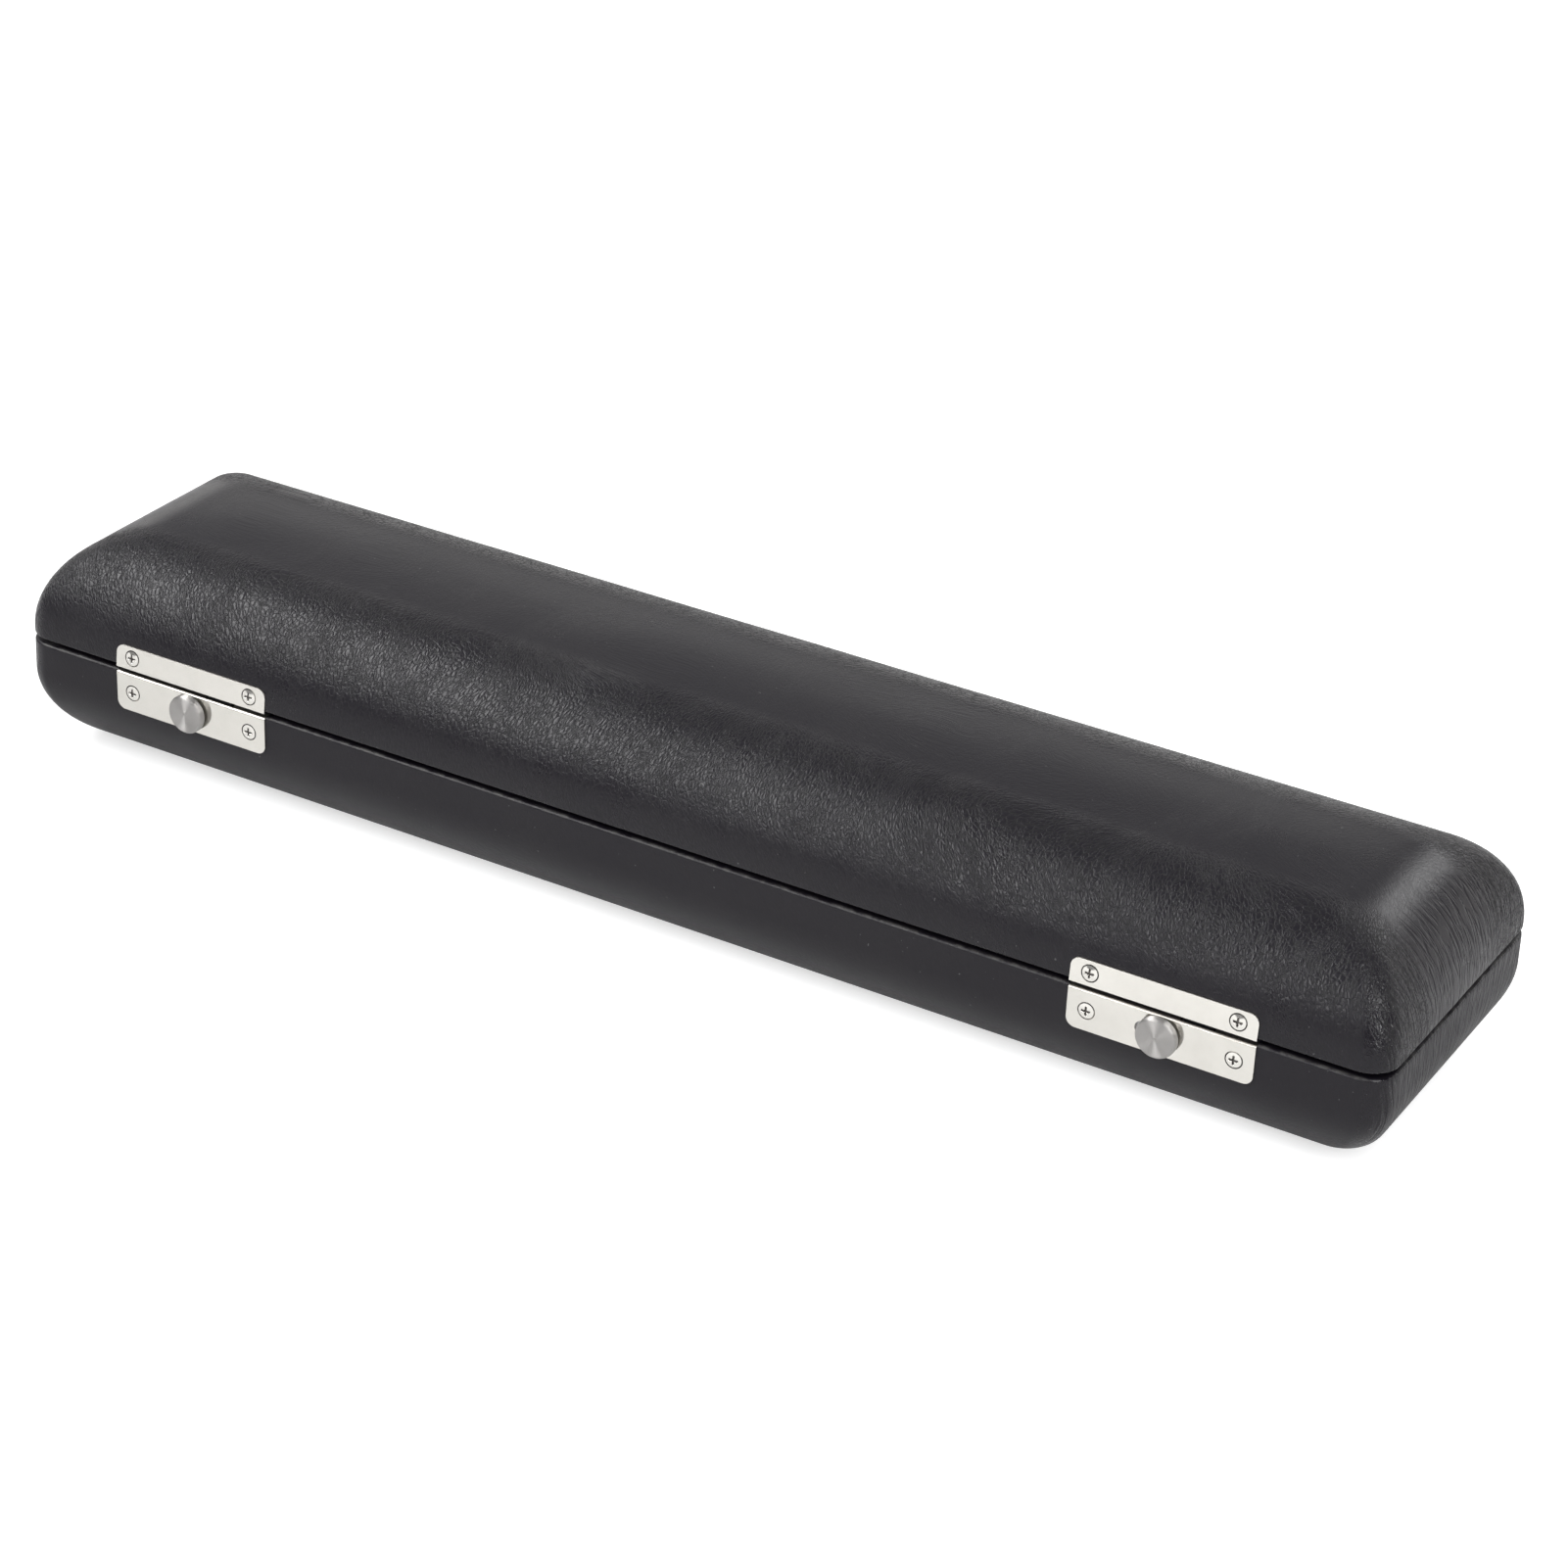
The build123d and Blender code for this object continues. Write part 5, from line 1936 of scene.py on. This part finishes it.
@dataclass
class ScrewSet:
    """One node's screws: painted shade in their cross recesses, and a dark ring painted where each
    head is sunk, as the countersink's shade.
    """

    node: str
    body: Body
    face: Face
    lean: float = 0.0
    edge_roll: float = 0.05
    head_depth: float = 0.6
    recess_radius: float = 1.4
    recess_depth: float = 0.2
    proud: float = 0.34
    ring_radius: float = 2.16
    ring_tube: float = 0.2
    ring_flat: float = 0.35
    spans: int = 44

    @property
    def out(self) -> Vector:
        """The way the heads face."""
        return self.face.outward(self.lean)

    def build(self) -> None:
        """Builds the screws and their rings and installs them."""
        piece = softened(self.node, f"{self.node}_finished", self.edge_roll, 1)
        heads = self.heads(piece)
        install(piece, SCREW_NICKEL, self.body.value, self.node)
        piece.data.materials.append(RECESS_SHADE.material())
        for face in piece.data.polygons:
            for head in heads:
                away = face.center / MM - head
                depth = -away.dot(self.out)
                aside = (away + depth * self.out).length
                # Faces deep in a head's cross recess get the painted shade.
                if aside < self.recess_radius and depth > self.recess_depth:
                    face.material_index = 1
        self.rings(heads)

    def heads(self, piece: bpy.types.Object) -> list[Vector]:
        """Finds the screws' heads.

        Args:
            piece: all the node's screws.

        Returns:
            The centre of each head's top, in millimetres.
        """
        bm = bmesh.new()
        bm.from_mesh(piece.data)
        found = []
        for island in islands(bm):
            places = [v.co / MM for v in island]
            top = max(p.dot(self.out) for p in places)
            rim = [p for p in places if p.dot(self.out) > top - self.head_depth]
            middle = sum(rim, Vector()) / len(rim)
            found.append(middle + (top - middle.dot(self.out)) * self.out)
        bm.free()
        return found

    def rings(self, heads: Sequence[Vector]) -> None:
        """Builds and installs the dark ring round each head, painted as the countersink's shade
        and reflection.

        Args:
            heads: the centre of each head's top, in millimetres.
        """
        bm = bmesh.new()
        side = Vector((1, 0, 0))
        up = self.out.cross(side)
        for head in heads:
            centre = head - self.proud * self.out
            rows = []
            for turn in full_turn(self.spans):
                spoke = math.cos(turn) * side + math.sin(turn) * up
                rows.append([centre + spoke * (self.ring_radius + self.ring_tube * math.cos(roll))
                             + self.out * (self.ring_flat * self.ring_tube * math.sin(roll))
                             for roll in full_turn(TUBE_SIDES)])
            skin(bm, rows, closed=True)
        install(publish(bm, f"{self.node}_rings"), COUNTERSINK_SHADE, self.body.value)


def islands(bm: bmesh.types.BMesh) -> list[list]:
    """Parts a mesh into what hangs together.

    Args:
        bm: the mesh.

    Returns:
        The vertices of each part, in the mesh's own order.
    """
    seen = set()
    found = []
    for first in bm.verts:
        if first in seen:
            continue
        seen.add(first)
        island = [first]
        for vertex in island:  # grows while it is walked
            for edge in vertex.link_edges:
                other = edge.other_vert(vertex)
                if other not in seen:
                    seen.add(other)
                    island.append(other)
        found.append(island)
    return found


@dataclass
class LatchPair:
    """Both latches: plates, pans, bolts, keepers, springs, knobs and screws."""

    placing: Placing = field(default_factory=Placing)
    plate_roll: float = 0.22
    small_roll: float = 0.08
    spring_x: float = -16.45

    def build(self) -> None:
        """Builds and installs every latch piece."""
        for side, x in zip(SIDES, (-self.placing.latch_x, self.placing.latch_x)):
            for stem, finish, body, width in (
                ("latch_plate", NICKEL, Body.BASE.value, self.plate_roll),
                ("strike_plate", NICKEL, Body.LID.value, self.plate_roll),
                ("latch_housing", STEEL, Body.BASE.value, self.small_roll),
                # The keeper takes the near-black painted shade of the gap.
                ("keeper", KEEPER_SHADE, Body.LID.value, self.small_roll),
                ("latch_bolt", STEEL, f"latch_bolt_{side}", self.small_roll),
            ):
                node = f"{stem}_{side}"
                install(softened(node, f"{node}_finished", width), finish, body, node)
            Knob().build(side, x)
            CoilSpring().build(side, x + self.spring_x)
        ScrewSet("latch_plate_screws", Body.BASE, Face.FRONT).build()
        ScrewSet("strike_plate_screws", Body.LID, Face.FRONT, WALL_LEAN).build()


@dataclass
class HingePair:
    """Both hinges: leaves, pins and screws."""

    roll: float = 0.12

    def build(self) -> None:
        """Builds and installs every hinge piece."""
        for side in SIDES:
            for stem, body in (("hinge_base_leaf", Body.BASE), ("hinge_lid_leaf", Body.LID),
                               ("hinge_pin", Body.BASE)):
                node = f"{stem}_{side}"
                piece = softened(node, f"{node}_finished", self.roll)
                install(piece, HINGE_NICKEL, body.value, node)
        ScrewSet("hinge_base_screws", Body.BASE, Face.BACK).build()
        ScrewSet("hinge_lid_screws", Body.LID, Face.BACK, WALL_LEAN).build()


# ---------------------------------------------------------------- camera, floor and light
@dataclass(frozen=True)
class Lamp:
    """A soft oblong lamp that faces the case. The second of its sizes is along its run."""

    name: str
    place: Triple
    size: Span
    power: float
    run: Triple = (0.0, 0.0, 1.0)
    aim: Triple = (0.0, 0.0, 0.03)
    color: Color = WHITE

    def build(self) -> bpy.types.Object:
        """Adds the lamp.

        Returns:
            The lamp.
        """
        data = bpy.data.lights.new(self.name, "AREA")
        data.shape = "RECTANGLE"
        data.size, data.size_y = self.size
        data.energy = self.power
        data.color = self.color
        made = bpy.data.objects.new(self.name, data)
        bpy.context.scene.collection.objects.link(made)
        back = (Vector(self.place) - Vector(self.aim)).normalized()
        across = Vector(self.run).cross(back).normalized()
        made.matrix_world = standing(self.place, across, back.cross(across), back)
        return made


def standing(place: Sequence[float], right: Vector, up: Vector, back: Vector) -> Matrix:
    """Where a lamp or a camera stands and how it is turned.

    Args:
        place: in metres.
        right: its own X.
        up: its own Y.
        back: its own Z, away from what it faces.

    Returns:
        Its matrix.
    """
    return Matrix.Translation(place) @ Matrix((right, up, back)).transposed().to_4x4()


@dataclass
class Studio:
    """The camera, a pale floor, an even surrounding light and soft lamps.

    The camera's target and distance are in millimetres, its focal length and frame in pixels of
    the frame. Spans of the room's light are heights and depths of the direction looked in.
    """

    azimuth: float = 29.468
    elevation: float = 28.422
    roll: float = 2.565
    target: Triple = (15.78, -4.868, 34.933)
    distance: float = 1044.786
    focal: float = 4182.345
    frame: float = 1601.0
    sensor: float = 36.0
    clip: Span = (0.05, 30.0)
    floor_color: Color = (0.7, 0.7, 0.7)
    floor_uneven: float = 0.985
    floor_noise: Texture = (1.2, 2.0, 0.5)
    floor_noise_span: Span = (0.2, 0.8)
    # A painted shade over the floor's left side.
    floor_left_shade: Color = (0.52, 0.52, 0.52)
    floor_left_shade_span: Span = (-0.26, -0.04)
    floor_roughness: float = 0.9
    floor_shine: float = 0.1
    floor_glow: float = 0.58
    floor_drop: float = 0.0002
    floor_reach: float = 6.0
    floor_squares: int = 8
    mirrored_glow: float = 0.04
    surround: float = 0.5
    front_low: float = 0.3
    front_height: Span = (0.1, 0.5)
    front_depth: Span = (-0.4, 0.0)
    rear_low: float = 1.25
    rear_height: Span = (0.22, 0.44)
    rear_depth: Span = (0.0, 0.5)
    cool: Color = (0.985, 0.99, 1.0)
    warm: Color = (1.0, 0.985, 0.965)
    lamps: tuple[Lamp, ...] = (
        Lamp("key_strip", (-0.62, -1.36, 0.84), (0.34, 2.9), 31.5, run=(-0.16, 1.0, 0.0),
             aim=(0.0, -1.36, 0.03)),
        Lamp("rear_lamp", (0.5, 1.2, 1.0), (0.5, 0.5), 4.6),
        Lamp("corner_strip", (0.9, -0.5, 0.77), (0.16, 1.35), 12.5, run=(-0.35, 0.22, 1.0),
             aim=(0.19, -0.03, 0.04)),
    )

    def build(self) -> None:
        """Sets up the whole studio."""
        self.aim_camera()
        self.lay_floor()
        self.light_room()
        for lamp in self.lamps:
            lamp.build()
        bpy.context.scene.view_settings.view_transform = "Standard"

    def aim_camera(self) -> None:
        """Adds the camera."""
        az, el, roll = (math.radians(v) for v in (self.azimuth, self.elevation, self.roll))
        back = Vector((math.sin(az) * math.cos(el), -math.cos(az) * math.cos(el), math.sin(el)))
        right = Vector((math.cos(az), math.sin(az), 0.0))
        up = back.cross(right)
        turned_right = math.cos(roll) * right + math.sin(roll) * up
        turned_up = -math.sin(roll) * right + math.cos(roll) * up
        data = bpy.data.cameras.new("camera")
        data.sensor_width = self.sensor
        data.lens = self.focal / self.frame * self.sensor
        data.clip_start, data.clip_end = self.clip
        camera = bpy.data.objects.new("camera", data)
        bpy.context.scene.collection.objects.link(camera)
        spot = (Vector(self.target) + back * self.distance) * MM
        camera.matrix_world = standing(spot, turned_right, turned_up, back)
        bpy.context.scene.camera = camera

    def lay_floor(self) -> None:
        """Lays a wide pale floor just under the case."""
        bm = bmesh.new()
        count, reach = self.floor_squares, self.floor_reach
        rows = [[bm.verts.new((reach * (2 * i / count - 1), reach * (2 * j / count - 1),
                               -self.floor_drop))
                 for i in range(count + 1)] for j in range(count + 1)]
        for j in range(count):
            for i in range(count):
                bm.faces.new((rows[j][i], rows[j][i + 1], rows[j + 1][i + 1], rows[j + 1][i]))
        floor = publish(bm, "floor")
        floor.data.materials.append(self.floor_material())

    def floor_material(self) -> bpy.types.Material:
        """Makes the floor's finish: matt, pale, with painted shade to the left, and white to the
        camera.

        Returns:
            The material.
        """
        material = bpy.data.materials.new("pale_floor")
        material.use_nodes = True
        graph = Graph(material.node_tree)
        place = graph.place()
        shade = graph.ramp(graph.noise(place, self.floor_noise), *self.floor_noise_span)
        uneven = tuple(self.floor_uneven * c for c in self.floor_color)
        tone = graph.tint(shade, self.floor_color, uneven)
        # Painted shade on the floor's left, so the plates reflect a darker floor there.
        left_shade = graph.ramp(graph.split(place)[0], *self.floor_left_shade_span, 1.0, 0.0)
        path = graph.add("ShaderNodeLightPath").outputs
        mirrored = graph.math("MAXIMUM", path["Is Glossy Ray"], path["Is Transmission Ray"])
        glow = graph.math("MULTIPLY", mirrored, self.mirrored_glow)
        graph.feed_all(material.node_tree.nodes["Principled BSDF"], {
            "Base Color": graph.tint(left_shade, tone, self.floor_left_shade),
            "Roughness": self.floor_roughness,
            "Specular IOR Level": self.floor_shine,
            "Emission Color": WHITE,
            "Emission Strength": graph.blend(path["Is Camera Ray"], glow, self.floor_glow),
        })
        return material

    def light_room(self) -> None:
        """Fills the world with an even light, brighter low down behind the case."""
        world = bpy.data.worlds.new("room")
        bpy.context.scene.world = world
        world.use_nodes = True
        graph = Graph(world.node_tree)
        _, y, z = graph.split(graph.add("ShaderNodeTexCoord").outputs["Generated"])
        rear = graph.math("MULTIPLY", graph.ramp(z, *self.rear_height, 1.0, 0.0),
                          graph.ramp(y, *self.rear_depth))
        front = graph.math("MULTIPLY", graph.ramp(z, *self.front_height, 1.0, 0.0),
                           graph.ramp(y, *self.front_depth, 1.0, 0.0))
        around = graph.blend(front, self.surround, self.front_low)
        light = graph.blend(rear, around, self.rear_low)
        seen = graph.add("ShaderNodeLightPath").outputs["Is Camera Ray"]
        graph.feed_all(world.node_tree.nodes["Background"], {
            "Color": graph.tint(rear, self.cool, self.warm),
            "Strength": graph.blend(seen, light, 1.0),
        })


def main() -> None:
    """Builds the case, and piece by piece."""
    logging.basicConfig(level=logging.INFO, format="%(name)s %(message)s")
    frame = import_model()
    Studio().build()
    BaseCover("base_leatherette", Body.BASE, BASE_LEATHER, "base_cover", rim=31.0, flat=0.0,
              side_straight=8.8, side_radius=22.2, end_straight=8.1, end_radius=22.9,
              corner_far=6.5, swell=0.0, flat_open=True).build()
    LidCover("lid_leatherette", Body.LID, LID_LEATHER, "lid_cover", rim=32.3, flat=59.9,
             side_straight=0.8, side_radius=26.8, end_straight=1.8, end_radius=25.8,
             turn_depth=4.7, crown=0.9).build()
    UndersidePanel().build()
    LipRail().build()
    BasePlush().build()
    LidPlush().build()
    LatchPair().build()
    HingePair().build()
    report(dress(frame["nodes"]["base_insert"], FIBRE))


if __name__ == "__main__":
    main()
